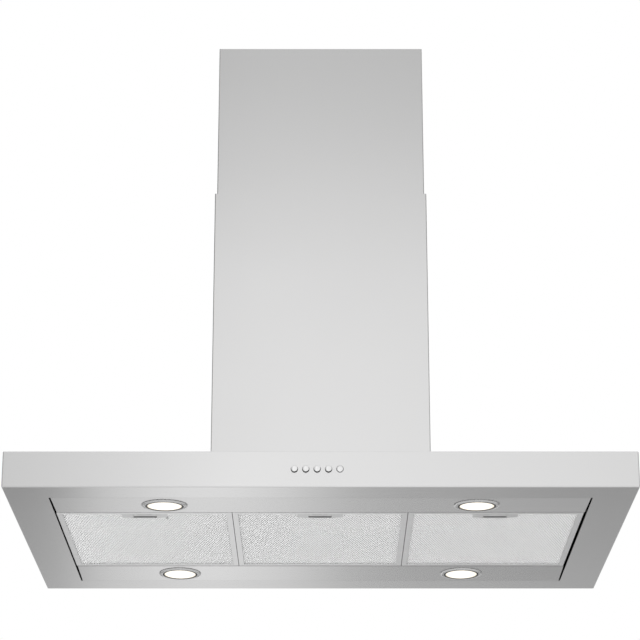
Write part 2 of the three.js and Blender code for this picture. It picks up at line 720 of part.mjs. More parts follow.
// One block behind the fascia that guides all five caps and stems.
function switchBlock() {
  const body = block(
    [buttonX(0) - SWITCH_END, buttonX(BUTTON_NAMES.length - 1) + SWITCH_END],
    [SWITCH_FRONT, SWITCH_FRONT + SWITCH_DEPTH],
    [BUTTON_Z - SWITCH_HEIGHT / 2, BUTTON_Z + SWITCH_HEIGHT / 2],
  );
  const shoulder = BUTTON_LENGTH - BUTTON_PROUD + BUTTON_TRAVEL + GAP;
  const guide = laidAlongY(
    turned(
      [
        [0, 0],
        [BUTTON_RADIUS + 2 * GAP, 0],
        [BUTTON_RADIUS + 2 * GAP, shoulder],
        [BUTTON_STEM_RADIUS + GAP, shoulder],
        [BUTTON_STEM_RADIUS + GAP, shoulder + BUTTON_STEM_LENGTH],
        [0, shoulder + BUTTON_STEM_LENGTH],
      ],
      BUTTON_SIDES,
    ),
  );
  return cutBy(body, BUTTON_NAMES.map((name, i) => guide.translate([buttonX(i), -HALF_DEPTH, BUTTON_Z])));
}

// ---------------------------------------------------------------- chimney

// Three sides and two narrow returns at the back.
function chimneyFront(half, z) {
  const outside = uprightPrism(roundedRectangle(half, half, BEND_RADIUS), z);
  const opening = half - CHIMNEY_RETURN;
  return cutBy(outside, [
    pillar(half - SHEET, past(z)),
    block([-opening, opening], [0, half + PAST], past(z)),
  ]);
}

// A flat panel between the returns, with a tongue behind each.
function chimneyRear(half, z) {
  const edge = half - CHIMNEY_RETURN - GAP;
  const behind = half - SHEET - GAP;
  const strips = [-1, 1].flatMap((side) => [
    block([side * (edge - JOGGLE), side * edge], [behind - SHEET, half - SHEET / 2], z),
    block([side * (edge - JOGGLE), side * (edge + JOGGLE)], [behind - SHEET, behind], z),
  ]);
  return joined([block([-edge, edge], [half - SHEET, half], z), ...strips]);
}

// ---------------------------------------------------------------- hanging frames

function braces(half, heights) {
  const reach = half - LEG_WIDTH + BRACE_LAP;
  return heights.map((z) =>
    fourTimes(block([-reach, reach], [half - LEG_SHEET, half], [z, z + BRACE_HEIGHT])),
  );
}

// Four angle-section legs, one at each corner, each cut by the same tool.
function legs(half, z, tool) {
  const outside = block([half - LEG_WIDTH, half], [half - LEG_WIDTH, half], z);
  const hollow = half - LEG_SHEET;
  const inside = block([half - LEG_WIDTH - PAST, hollow], [half - LEG_WIDTH - PAST, hollow], past(z));
  return fourTimes(cutBy(outside, [inside, tool]));
}

// The ceiling half: long slots in its legs let the hood be set higher or lower.
function upperFrame() {
  const reach = TELESCOPE_TRAVEL + FRAME_BOLT_RADIUS + FRAME_CLEARANCE;
  const halfSlot = FRAME_BOLT_RADIUS + FRAME_CLEARANCE;
  const middle = LOWER_LEG_HALF - LEG_WIDTH / 2;
  const slot = block(
    past([UPPER_LEG_HALF, UPPER_LEG_HALF]),
    [middle - halfSlot, middle + halfSlot],
    [FRAME_BOLT_Z - reach, FRAME_BOLT_Z + reach],
  );
  const heights = [
    UPPER_FRAME_FLOOR,
    (UPPER_FRAME_FLOOR + UPPER_FRAME_TOP) / 2,
    UPPER_FRAME_TOP - BRACE_HEIGHT,
  ];
  return joined([
    legs(UPPER_LEG_HALF, [UPPER_FRAME_FLOOR, UPPER_FRAME_TOP], slot),
    ...braces(UPPER_LEG_HALF, heights),
  ]);
}

// The canopy half, nested inside the upper one, on a flat ring.
function lowerFrame() {
  const middle = LOWER_LEG_HALF - LEG_WIDTH / 2;
  const hole = laidAlongX(disc(FRAME_BOLT_RADIUS + GAP, [-PAST, PAST], SMALL_SIDES)).translate([
    LOWER_LEG_HALF,
    middle,
    FRAME_BOLT_Z,
  ]);
  const base = [ABOVE_CANOPY, ABOVE_CANOPY + LEG_SHEET];
  const baseRing = pillar(BASE_RING_HALF, base).subtract(pillar(BASE_RING_HALF - BASE_RING_WIDTH, past(base)));
  return joined([
    legs(LOWER_LEG_HALF, [ABOVE_CANOPY, LOWER_FRAME_TOP], hole),
    ...braces(LOWER_LEG_HALF, [BOX_TOP, LOWER_FRAME_TOP - BRACE_HEIGHT]),
    baseRing,
  ]);
}

// A bolt with its nut, through one leg of each frame.
function frameBolt() {
  const head = LOWER_LEG_HALF - LEG_SHEET - GAP;
  const nut = UPPER_LEG_HALF + GAP;
  const bolt = turned(
    [
      [0, head - FRAME_BOLT_HEAD_HEIGHT],
      [FRAME_BOLT_HEAD_RADIUS, head - FRAME_BOLT_HEAD_HEIGHT],
      [FRAME_BOLT_HEAD_RADIUS, head],
      [FRAME_BOLT_RADIUS, head],
      [FRAME_BOLT_RADIUS, nut],
      [FRAME_BOLT_HEAD_RADIUS, nut],
      [FRAME_BOLT_HEAD_RADIUS, nut + FRAME_NUT_HEIGHT],
      [0, nut + FRAME_NUT_HEIGHT],
    ],
    SMALL_SIDES,
  );
  return laidAlongX(bolt).translate([0, LOWER_LEG_HALF - LEG_WIDTH / 2, FRAME_BOLT_Z]);
}

function ceilingPlate() {
  const z = [HANG_HEIGHT - CEILING_PLATE_FLANGE, HANG_HEIGHT];
  const sheet = HANG_HEIGHT - CEILING_PLATE_SHEET;
  const middle = (CEILING_OPENING / 2 + PLATE_HALF) / 2;
  const slot = block(
    [middle - CEILING_SLOT_WIDTH / 2, middle + CEILING_SLOT_WIDTH / 2],
    [-CEILING_SLOT_LENGTH / 2, CEILING_SLOT_LENGTH / 2],
    past(z),
  );
  return cutBy(pillar(PLATE_HALF, z), [
    pillar(PLATE_HALF - CEILING_PLATE_SHEET, [z[0] - PAST, sheet]),
    pillar(CEILING_OPENING / 2, past(z)),
    fourTimes(slot),
  ]);
}

// ---------------------------------------------------------------- blower

function blowerBox() {
  const z = [ABOVE_CANOPY, BOX_TOP];
  const flange = pillar(BOX_HALF + BLOWER_FLANGE, [ABOVE_CANOPY, ABOVE_CANOPY + SHEET]);
  return cutBy(joined([pillar(BOX_HALF, z), flange]), [
    pillar(BOX_HALF - SHEET, [ABOVE_CANOPY - PAST, BOX_TOP - SHEET]),
    disc(COLLAR_BORE, past(z), ROUND_SIDES),
  ]);
}

// One curved blade, drawn across the wheel's axis and swept forward towards its tip.
function blade(turn) {
  const root = IMPELLER_RADIUS - IMPELLER_RING_WIDTH + BLADE_THICKNESS / 2;
  const tip = IMPELLER_RADIUS - BLADE_THICKNESS / 2;
  const spine = [
    [root, 0],
    [(root + tip) / 2, 0.35 * BLADE_SWEEP],
    [tip, BLADE_SWEEP],
  ];
  const face = (side) =>
    spine.map(([radius, lean]) => {
      const angle = THREE.MathUtils.degToRad(turn + lean) + (side * BLADE_THICKNESS) / (2 * radius);
      return [radius * Math.cos(angle), radius * Math.sin(angle)];
    });
  const reach = IMPELLER_HALF_LENGTH - IMPELLER_RING_HEIGHT / 2;
  return uprightPrism(outline([...face(-1), ...face(1).reverse()]), [-reach, reach]);
}

// A double-inlet squirrel cage: a middle plate with its hub, two end rings and the blades.
function impeller() {
  const bore = SHAFT_RADIUS + GAP;
  const ends = [-IMPELLER_HALF_LENGTH, IMPELLER_HALF_LENGTH - IMPELLER_RING_HEIGHT];
  const endRings = ends.map((z) =>
    ring(
      IMPELLER_RADIUS - IMPELLER_RING_WIDTH,
      IMPELLER_RADIUS,
      [z, z + IMPELLER_RING_HEIGHT],
      ROUND_SIDES,
    ),
  );
  const blades = Array.from({ length: BLADE_COUNT }, (_, i) => blade((i * FULL_TURN) / BLADE_COUNT));
  const wheel = joined([
    ring(bore, IMPELLER_RADIUS, [-IMPELLER_DISC / 2, IMPELLER_DISC / 2], ROUND_SIDES),
    ring(bore, HUB_RADIUS, [-HUB_LENGTH / 2, HUB_LENGTH / 2], ROUND_SIDES),
    ...endRings,
    ...blades,
  ]);
  return laidAlongX(wheel).translate([0, SCROLL_OFFSET, SCROLL_AXIS_Z]);
}

// The space inside the scroll, or with its wall added, between two heights across the wheel.
function scrollSpace(wall, halfLength, top) {
  const spiral = [[SCROLL_OFFSET, SCROLL_AXIS_Z]];
  for (let i = 0; i <= SCROLL_STEPS; i++) {
    const part = i / SCROLL_STEPS;
    const angle = THREE.MathUtils.degToRad(SCROLL_START - part * SCROLL_SWEEP);
    const radius = SCROLL_START_RADIUS + part * (SCROLL_END_RADIUS - SCROLL_START_RADIUS) + wall;
    spiral.push([SCROLL_OFFSET + radius * Math.cos(angle), SCROLL_AXIS_Z + radius * Math.sin(angle)]);
  }
  const start = THREE.MathUtils.degToRad(SCROLL_START);
  const tongueY = SCROLL_OFFSET + SCROLL_START_RADIUS * Math.cos(start) + wall;
  const tongueZ = SCROLL_AXIS_Z + SCROLL_START_RADIUS * Math.sin(start);
  const frontWall = SCROLL_OFFSET - SCROLL_END_RADIUS - wall;
  const outlet = [
    [frontWall, SCROLL_AXIS_Z],
    [SCROLL_OFFSET, SCROLL_AXIS_Z],
    [tongueY, tongueZ],
    [SCROLL_OUTLET_BACK + wall, top],
    [frontWall, top],
  ];
  const across = [-halfLength, halfLength];
  return prismAlongX(outline(spiral), across).add(prismAlongX(outline(outlet), across));
}

function fanScroll() {
  const inlet = laidAlongX(disc(SCROLL_INLET_RADIUS, past([-SCROLL_HALF, SCROLL_HALF]), ROUND_SIDES));
  return cutBy(scrollSpace(SCROLL_WALL, SCROLL_HALF, SCROLL_TOP), [
    scrollSpace(0, SCROLL_HALF - SCROLL_WALL, SCROLL_TOP),
    inlet.translate([0, SCROLL_OFFSET, SCROLL_AXIS_Z]),
  ]);
}

// The motor sits inside the wheel's right-hand half, on three arms across the inlet.
function fanMotor() {
  const arm = block(
    [MOTOR_RADIUS / 2, SCROLL_INLET_RADIUS + MOTOR_ARM_LAP],
    [-MOTOR_ARM_WIDTH / 2, MOTOR_ARM_WIDTH / 2],
    [MOTOR_ARM_START, MOTOR_ARM_START + SCROLL_WALL],
  );
  const motor = joined([
    disc(MOTOR_RADIUS, [MOTOR_START, MOTOR_END], ROUND_SIDES),
    disc(SHAFT_RADIUS, [-HUB_LENGTH / 2 - SHEET, MOTOR_START + SHEET], SMALL_SIDES),
    ...Array.from({ length: MOTOR_ARMS }, (_, i) => arm.rotate([0, 0, (i * FULL_TURN) / MOTOR_ARMS])),
  ]);
  return laidAlongX(motor).translate([0, SCROLL_OFFSET, SCROLL_AXIS_Z]);
}

// The spigot that the duct slides over, with holes for the flap pin and two stops under the flaps.
function ductCollar() {
  const body = turned(
    [
      [COLLAR_BORE, ABOVE_BOX],
      [COLLAR_RADIUS + COLLAR_FLANGE, ABOVE_BOX],
      [COLLAR_RADIUS + COLLAR_FLANGE, ABOVE_BOX + COLLAR_WALL],
      [COLLAR_RADIUS, ABOVE_BOX + COLLAR_WALL],
      [COLLAR_RADIUS, ABOVE_BOX + COLLAR_HEIGHT],
      [COLLAR_BORE, ABOVE_BOX + COLLAR_HEIGHT],
    ],
    ROUND_SIDES,
  );
  const pinHole = laidAlongX(disc(KNUCKLE_BORE, past([-COLLAR_RADIUS, COLLAR_RADIUS]), SMALL_SIDES));
  const stopTop = FLAP_Z - FLAP_THICKNESS / 2 - GAP;
  const stops = [-1, 1].map((side) =>
    block(
      [-KNUCKLE_RADIUS, KNUCKLE_RADIUS],
      [side * (COLLAR_BORE - 4 * FLAP_CLEARANCE), side * (COLLAR_BORE + COLLAR_WALL / 2)],
      [stopTop - COLLAR_WALL, stopTop],
    ),
  );
  return joined([body.subtract(pinHole.translate([0, 0, FLAP_Z])), ...stops]);
}

function flapPin() {
  const reach = COLLAR_RADIUS + COLLAR_WALL;
  return laidAlongX(disc(FLAP_PIN_RADIUS, [-reach, reach], SMALL_SIDES)).translate([0, 0, FLAP_Z]);
}

// Half a disc with one knuckle round the shared pin. Side is -1 for the front flap and 1 for the rear one.
function flap(side) {
  const thickness = [FLAP_Z - FLAP_THICKNESS / 2, FLAP_Z + FLAP_THICKNESS / 2];
  const straightEdge = KNUCKLE_RADIUS + 2 * GAP;
  const knuckleX = side * KNUCKLE_OFFSET;
  const across = [knuckleX - KNUCKLE_LENGTH / 2, knuckleX + KNUCKLE_LENGTH / 2];
  const reach = COLLAR_RADIUS + PAST;
  const half = disc(COLLAR_BORE - FLAP_CLEARANCE, thickness, ROUND_SIDES).intersect(
    block([-reach, reach], [side * straightEdge, side * reach], past(thickness)),
  );
  const knuckle = laidAlongX(disc(KNUCKLE_RADIUS, across, SMALL_SIDES)).translate([0, 0, FLAP_Z]);
  const bridge = block(across, [side * (KNUCKLE_BORE + GAP), side * (straightEdge + 1)], thickness);
  const bore = laidAlongX(disc(KNUCKLE_BORE, past(across), SMALL_SIDES)).translate([0, 0, FLAP_Z]);
  return joined([half, knuckle, bridge]).subtract(bore);
}

function terminalBox() {
  return block(
    [CORNER_PARTS - TERMINAL_BOX_WIDTH / 2, CORNER_PARTS + TERMINAL_BOX_WIDTH / 2],
    [CORNER_PARTS - TERMINAL_BOX_DEPTH / 2, CORNER_PARTS + TERMINAL_BOX_DEPTH / 2],
    [ABOVE_BOX, ABOVE_BOX + TERMINAL_BOX_HEIGHT],
  );
}

// Screwed up under the canopy's top, between the front left lamp and the buttons.
function lampTransformer() {
  const x = TRANSFORMER_INSET - LAMP_SPREAD / 2;
  const y = TRANSFORMER_SETBACK - HALF_DEPTH;
  const top = CANOPY_HEIGHT - SHEET - GAP;
  return block(
    [x - TRANSFORMER_WIDTH / 2, x + TRANSFORMER_WIDTH / 2],
    [y - TRANSFORMER_DEPTH / 2, y + TRANSFORMER_DEPTH / 2],
    [top - TRANSFORMER_HEIGHT, top],
  );
}

// ---------------------------------------------------------------- assembly

const hood = new THREE.Group();
hood.name = "range_hood";
hood.position.z = -HANG_HEIGHT;

// One named piece, at the middle of the hood unless a group with its own place is given.
function piece(name, body, material, parent = hood) {
  const mesh = new THREE.Mesh(geometryOf(body), material);
  mesh.name = name;
  parent.add(mesh);
}

function groupAt(x, y, z) {
  const group = new THREE.Group();
  group.position.set(x, y, z);
  hood.add(group);
  return group;
}

// What hangs from the ceiling.
const upperChimney = [HANG_HEIGHT - GAP - UPPER_CHIMNEY_HEIGHT, HANG_HEIGHT - GAP];
piece("ceiling_plate", ceilingPlate(), galvanisedSteel);
piece("upper_frame", upperFrame(), galvanisedSteel);
piece("upper_chimney_front", chimneyFront(UPPER_HALF, upperChimney), brushedSteel);
piece("upper_chimney_rear", chimneyRear(UPPER_HALF, upperChimney), brushedSteel);

// What is set to height with the canopy.
const lowerChimney = [ABOVE_CANOPY, ABOVE_CANOPY + LOWER_CHIMNEY_HEIGHT];
piece("canopy_shell", canopyShell(), brushedSteel);
piece("lamp_panel_front", frontPanel(), brushedSteel);
piece("lamp_panel_rear", rearPanel(), brushedSteel);
piece("lower_chimney_front", chimneyFront(CHIMNEY_HALF, lowerChimney), brushedSteel);
piece("lower_chimney_rear", chimneyRear(CHIMNEY_HALF, lowerChimney), brushedSteel);
piece("lower_frame", lowerFrame(), galvanisedSteel);
["right", "rear", "left", "front"].forEach((side, i) => {
  piece(`frame_bolt_${side}`, frameBolt().rotate([0, 0, 90 * i]), chrome);
});

// The blower and its duct collar.
piece("blower_box", blowerBox(), galvanisedSteel);
piece("fan_scroll", fanScroll(), darkPlastic);
piece("fan_motor", fanMotor(), galvanisedSteel);
piece("fan_impeller", impeller(), galvanisedSteel);
piece("duct_collar", ductCollar(), darkPlastic);
piece("flap_pin", flapPin(), chrome);
piece("flap_front", flap(-1), palePlastic);
piece("flap_rear", flap(1), palePlastic);

// Electrics.
piece("terminal_box", terminalBox(), palePlastic);
const capacitor = disc(CAPACITOR_RADIUS, [ABOVE_BOX, ABOVE_BOX + CAPACITOR_HEIGHT], ROUND_SIDES);
piece("motor_capacitor", capacitor.translate([-CORNER_PARTS, CORNER_PARTS, 0]), palePlastic);
piece("lamp_transformer", lampTransformer(), darkPlastic);
piece("switch_block", switchBlock(), darkPlastic);
BUTTON_NAMES.forEach((name, i) => {
  const sunk = name === PRESSED_BUTTON ? BUTTON_PRESSED : 0;
  const place = groupAt(buttonX(i), sunk - HALF_DEPTH, BUTTON_Z);
  piece(`button_${name}`, laidAlongY(pushButton()), chrome, place);
});

// Lamps, square to the sloping panels.
for (const [row, side, inner] of [
  ["front", -1, FRONT_PANEL_INNER],
  ["rear", 1, REAR_PANEL_INNER],
]) {
  const slope = PANEL_RISE / (PANEL_OUTER - inner);
  const y = (side * (PANEL_OUTER + inner)) / 2;
  for (const [column, across] of [
    ["left", -1],
    ["right", 1],
  ]) {
    const place = groupAt((across * LAMP_SPREAD) / 2, y, PANEL_RISE / 2);
    place.rotation.x = -side * Math.atan(slope);
    piece(`lamp_bezel_${row}_${column}`, lampBezel(), chrome, place);
    piece(`lamp_can_${row}_${column}`, lampCan(), chrome, place);
    piece(`lamp_glass_${row}_${column}`, lampGlass(), litGlass, place);
    piece(`lamp_bulb_${row}_${column}`, lampBulb(), ceramic, place);
  }
}

// Filters with their handles.
for (const [column, x] of FILTER_PLACES) {
  const place = groupAt(x, 0, PANEL_RISE);
  piece(`filter_frame_${column}`, filterFrame(), filterAluminium, place);
  piece(`filter_net_${column}`, filterNet(), filterAluminium, place);
  piece(`handle_tray_${column}`, handleTray(), filterAluminium, place);
  piece(`filter_latch_${column}`, filterLatch(), filterAluminium, place);
}

export default hood;
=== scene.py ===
"""Looks for a ceiling-hung chimney range hood, built round its packed frame.

Metres, +Z up. The front, with the buttons, faces -Y, and the origin is the middle of the ceiling plane.
The hood's own sizes repeat those of its CAD source, or are read from the packed nodes.
"""

import math

import bmesh
import bpy
from bpy.props import FloatProperty, FloatVectorProperty, IntProperty, PointerProperty
from bpy.types import Operator, Panel, PropertyGroup
from mathutils import Matrix, Vector


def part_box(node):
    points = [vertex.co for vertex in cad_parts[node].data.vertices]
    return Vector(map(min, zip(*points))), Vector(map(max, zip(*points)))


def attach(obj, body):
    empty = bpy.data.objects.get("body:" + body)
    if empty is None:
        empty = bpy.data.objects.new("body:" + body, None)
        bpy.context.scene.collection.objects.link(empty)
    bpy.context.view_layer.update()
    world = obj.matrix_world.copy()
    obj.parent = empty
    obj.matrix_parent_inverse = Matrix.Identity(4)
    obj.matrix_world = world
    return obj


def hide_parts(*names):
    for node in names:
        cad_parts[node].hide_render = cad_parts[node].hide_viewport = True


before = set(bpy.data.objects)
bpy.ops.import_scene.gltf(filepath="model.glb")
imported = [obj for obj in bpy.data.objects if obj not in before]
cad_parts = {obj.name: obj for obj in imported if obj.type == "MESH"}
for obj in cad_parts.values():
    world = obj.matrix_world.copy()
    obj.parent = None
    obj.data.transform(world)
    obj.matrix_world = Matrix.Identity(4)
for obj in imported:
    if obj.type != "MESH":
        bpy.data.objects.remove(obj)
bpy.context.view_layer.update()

bl_info = {
    "name": "Chimney range hood",
    "version": (1, 0, 0),
    "blender": (4, 5, 0),
    "location": "View3D > Sidebar > Hood",
    "description": "Builds the visible pieces and finishes of a ceiling-hung chimney range hood",
    "category": "Object",
}

MM = 0.001
CANOPY_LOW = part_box("canopy_shell")[0]
UNDERSIDE, FASCIA = CANOPY_LOW.z, CANOPY_LOW.y
PANEL_RISE = 2.5 * MM  # how much higher a lamp panel is at the filters than at the rim
GAP = 0.3 * MM  # between a filter's parts
FULL_TURN = 2 * math.pi
SHARP = math.radians(35)  # an edge that turns by more stays sharp
MERGE = 1e-6  # points nearer than this become one
ON_SIDE = 1e-5  # a point this near to a side of its box lies on it

SIDES = (-1, 1)
COLUMNS = ("left", "middle", "right")
ROWS = (("front", -1), ("rear", 1))
LAMP_COLUMNS = ("left", "right")
BUTTONS = ("fan_off", "speed_1", "speed_2", "speed_3", "light")
PANEL_NODES = ("lamp_panel_front", "lamp_panel_rear")
FRAME_NODES = tuple(f"filter_frame_{column}" for column in COLUMNS)
CHIMNEY_REARS = ("upper_chimney_rear", "lower_chimney_rear")
CHIMNEYS = (("upper", "ceiling_frame"), ("lower", "hood_body"))
GALVANISED_NODES = ("ceiling_plate", "upper_frame", "lower_frame", "blower_box")


# ---------------------------------------------------------------- meshes


def turned(profile, steps=64):
    """A (radius, height) profile in millimetres, turned about Z. It ends on the axis or closes on itself."""
    bm = bmesh.new()
    verts = [bm.verts.new((r * MM, 0, z * MM)) for r, z in profile]
    pairs = list(zip(verts, verts[1:]))
    if profile[0][0] > 0:
        pairs.append((verts[-1], verts[0]))
    edges = [bm.edges.new(pair) for pair in pairs]
    bmesh.ops.spin(
        bm, geom=verts + edges, cent=(0, 0, 0), axis=(0, 0, 1), angle=FULL_TURN, steps=steps, use_merge=True
    )
    bmesh.ops.remove_doubles(bm, verts=bm.verts, dist=MERGE)
    bmesh.ops.recalc_face_normals(bm, faces=bm.faces)
    return smooth(bm)


def smooth(bm):
    for face in bm.faces:
        face.smooth = True
    return bm


def soften(bm, edges, radius, segments=3):
    """Rounds some edges. Only the rounding is shaded smooth, so flat sheet stays flat."""
    rounding = bmesh.ops.bevel(
        bm, geom=edges, offset=radius, segments=segments, profile=0.5, affect="EDGES",
        clamp_overlap=True, material=-1,
    )
    for face in rounding["faces"]:
        face.smooth = True
    return bm


def block(low, high, radius=0.0):
    """A box between two corners in metres, with its edges rounded where a radius is given."""
    low, high = Vector(low), Vector(high)
    bm = bmesh.new()
    bmesh.ops.create_cube(bm, size=1)
    bmesh.ops.scale(bm, vec=high - low, verts=bm.verts)
    bmesh.ops.translate(bm, vec=(low + high) / 2, verts=bm.verts)
    return soften(bm, bm.edges[:], radius) if radius else bm


def cylinder(radius, depth, sides=32, edge=0.0):
    """A rod along Z, from 0 to its depth, in metres. With six sides it is a hexagon."""
    bm = bmesh.new()
    bmesh.ops.create_cone(bm, cap_ends=True, segments=sides, radius1=radius, radius2=radius, depth=depth)
    bmesh.ops.translate(bm, vec=(0, 0, depth / 2), verts=bm.verts)
    for face in bm.faces:
        face.smooth = sides > 6 and len(face.verts) == 4
    if edge:
        soften(bm, [e for e in bm.edges if abs(e.verts[0].co.z - e.verts[1].co.z) < MERGE], edge, 2)
    return bm


def drawn(outline, low, high):
    """A closed outline of (x, y) points in metres, drawn up from one height to another."""
    bm = bmesh.new()
    face = bm.faces.new([bm.verts.new((x, y, low)) for x, y in outline])
    up = bmesh.ops.extrude_face_region(bm, geom=[face])
    verts = [g for g in up["geom"] if isinstance(g, bmesh.types.BMVert)]
    bmesh.ops.translate(bm, vec=(0, 0, high - low), verts=verts)
    bmesh.ops.recalc_face_normals(bm, faces=bm.faces)
    return bm


def node_copy(name):
    """A CAD node's mesh with its loose triangles joined."""
    bm = bmesh.new()
    bm.from_mesh(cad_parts[name].data)
    bmesh.ops.remove_doubles(bm, verts=bm.verts, dist=MERGE)
    return smooth(bm)


def folded_sheet(name, corner, edge):
    """A CAD node of folded sheet, with the upright corners of its box rounded, and its outer rims eased."""
    bm = node_copy(name)
    for face in bm.faces:
        face.smooth = False
    low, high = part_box(name)

    def planes(vert):
        return {
            (axis, side) for axis in range(3) for side, limit in enumerate((low, high))
            if abs(vert.co[axis] - limit[axis]) < ON_SIDE
        }

    for upright, radius in ((True, corner), (False, edge)):
        outer = []
        for e in bm.edges:
            shared = planes(e.verts[0]) & planes(e.verts[1])
            if len(shared) == 2 and ({axis for axis, _ in shared} == {0, 1}) == upright:
                outer.append(e)
        soften(bm, outer, radius)
    return bm


def together(*parts):
    """One mesh from several, each given alone or with the matrix that puts it in place."""
    whole = bmesh.new()
    for part in parts:
        bm, place = part if isinstance(part, tuple) else (part, Matrix.Identity(4))
        mesh = bpy.data.meshes.new("part")
        bm.to_mesh(mesh)
        mesh.transform(place)
        whole.from_mesh(mesh)
        bpy.data.meshes.remove(mesh)
        bm.free()
    return whole


def copies(bm, places):
    """The same mesh at each of several matrices."""
    mesh = bpy.data.meshes.new("part")
    bm.to_mesh(mesh)
    bm.free()
    whole = bmesh.new()
    for place in places:
        copy = mesh.copy()
        copy.transform(place)
        whole.from_mesh(copy)
        bpy.data.meshes.remove(copy)
    bpy.data.meshes.remove(mesh)
    return whole


def at(x, y, z):
    return Matrix.Translation((x, y, z))


def turn(degrees, axis):
    return Matrix.Rotation(math.radians(degrees), 4, axis)


def placed(bm, place):
    """A mesh moved to its place by a matrix."""
    return together((bm, place))


def centre(name):
    """The middle of a CAD node's box."""
    low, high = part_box(name)
    return (low + high) / 2


def evenly(first, last, count):
    """Places at equal steps from the first to the last."""
    return [first + i * (last - first) / (count - 1) for i in range(count)]


def new_object(name, bm, material):
    """A new object at the origin, from a finished bmesh."""
    mesh = bpy.data.meshes.new(name)
    bm.to_mesh(mesh)
    bm.free()
    mesh.materials.append(material)
    obj = bpy.data.objects.new(name, mesh)
    bpy.context.scene.collection.objects.link(obj)
    return obj


def piece(name, bm, finish, body, replaces=None):
    """A piece of the hood that rides on a body. Its finish is a material and the slot that stands for it; the
    slot is not used.
    """
    material, slot = finish
    for edge in bm.edges:
        edge.smooth = len(edge.link_faces) == 2 and edge.calc_face_angle(0) < SHARP
    obj = new_object(name, bm, material)
    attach(obj, body)
    if replaces:
        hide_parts(replaces)


def dress(name, finish):
    """Gives a carried-over CAD node its finish."""
    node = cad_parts[name]
    node.data.materials.clear()
    node.data.materials.append(finish[0])


# ---------------------------------------------------------------- materials


def add(tree, kind, inputs=(), settings=()):
    """A shader node with its settings, and its inputs set or linked."""
    node = tree.nodes.new("ShaderNode" + kind)
    for key, value in dict(settings).items():
        setattr(node, key, value)
    for key, value in dict(inputs).items():
        if isinstance(value, bpy.types.NodeSocket):
            tree.links.new(value, node.inputs[key])
        else:
            node.inputs[key].default_value = value
    return node


def surface(name, metallic=0.0, roughness=0.5, **sockets):
    """A new material with one Principled shader. Plain values are set on the shader itself."""
    material = bpy.data.materials.new(name)
    material.use_nodes = True
    shader = material.node_tree.nodes["Principled BSDF"]
    shader.inputs["Metallic"].default_value = metallic
    shader.inputs["Roughness"].default_value = roughness
    for key, value in sockets.items():
        shader.inputs[key.replace("_", " ").title()].default_value = value
    return material, material.node_tree, shader


def object_noise(tree, scale, detail=3.0, vector=None):
    """Noise on Object coordinates, at one scale or stretched by a scale for each axis."""
    scale = scale if isinstance(scale, tuple) else (scale,) * 3
    vector = vector or add(tree, "TexCoord").outputs["Object"]
    mapped = add(tree, "Mapping", {"Vector": vector, "Scale": scale}).outputs["Vector"]
    return add(
        tree, "TexNoise", {"Vector": mapped, "Scale": 1.0, "Detail": detail, "Roughness": 0.5}
    ).outputs["Fac"]


def math_node(tree, operation, *values):
    return add(tree, "Math", dict(enumerate(values)), {"operation": operation}).outputs["Value"]


def ramp(tree, value, stops):
    """A colour ramp from (position, colour) stops."""
    node = add(tree, "ValToRGB", {"Fac": value})
    elements = node.color_ramp.elements
    while len(elements) < len(stops):
        elements.new(0.5)
    for element, (position, color) in zip(elements, stops):
        element.position = position
        element.color = (*color, 1)
    return node.outputs["Color"]


def tones(color, *levels):
    return [tuple(min(1.0, c * level) for c in color) for level in levels]


def between(tree, value, low, high, start=0.3, end=0.7):
    """A value between start and end, brought to the range from low to high."""
    return add(
        tree, "MapRange", {"Value": value, "From Min": start, "From Max": end, "To Min": low, "To Max": high}
    ).outputs["Result"]


def tint(tree, shader, value, first, last, start=0.3, end=0.7):
    """Colours a surface by a value, from one colour to another."""
    tree.links.new(ramp(tree, value, [(start, first), (end, last)]), shader.inputs["Base Color"])


def vary_roughness(tree, shader, value, low, high, start=0.3, end=0.7):
    """Varies a surface's roughness by a value."""
    tree.links.new(between(tree, value, low, high, start, end), shader.inputs["Roughness"])


def bump(tree, shader, height, strength, distance):
    node = add(tree, "Bump", {"Height": height, "Strength": strength, "Distance": distance})
    tree.links.new(node.outputs["Normal"], shader.inputs["Normal"])


MARK_STRETCH = 130  # how many times longer than wide a brush mark is
DRAWING_STRETCH = 60  # and a drawing mark on aluminium
SIDEWAYS = 0.7  # the X of a normal from which a face counts as looking sideways


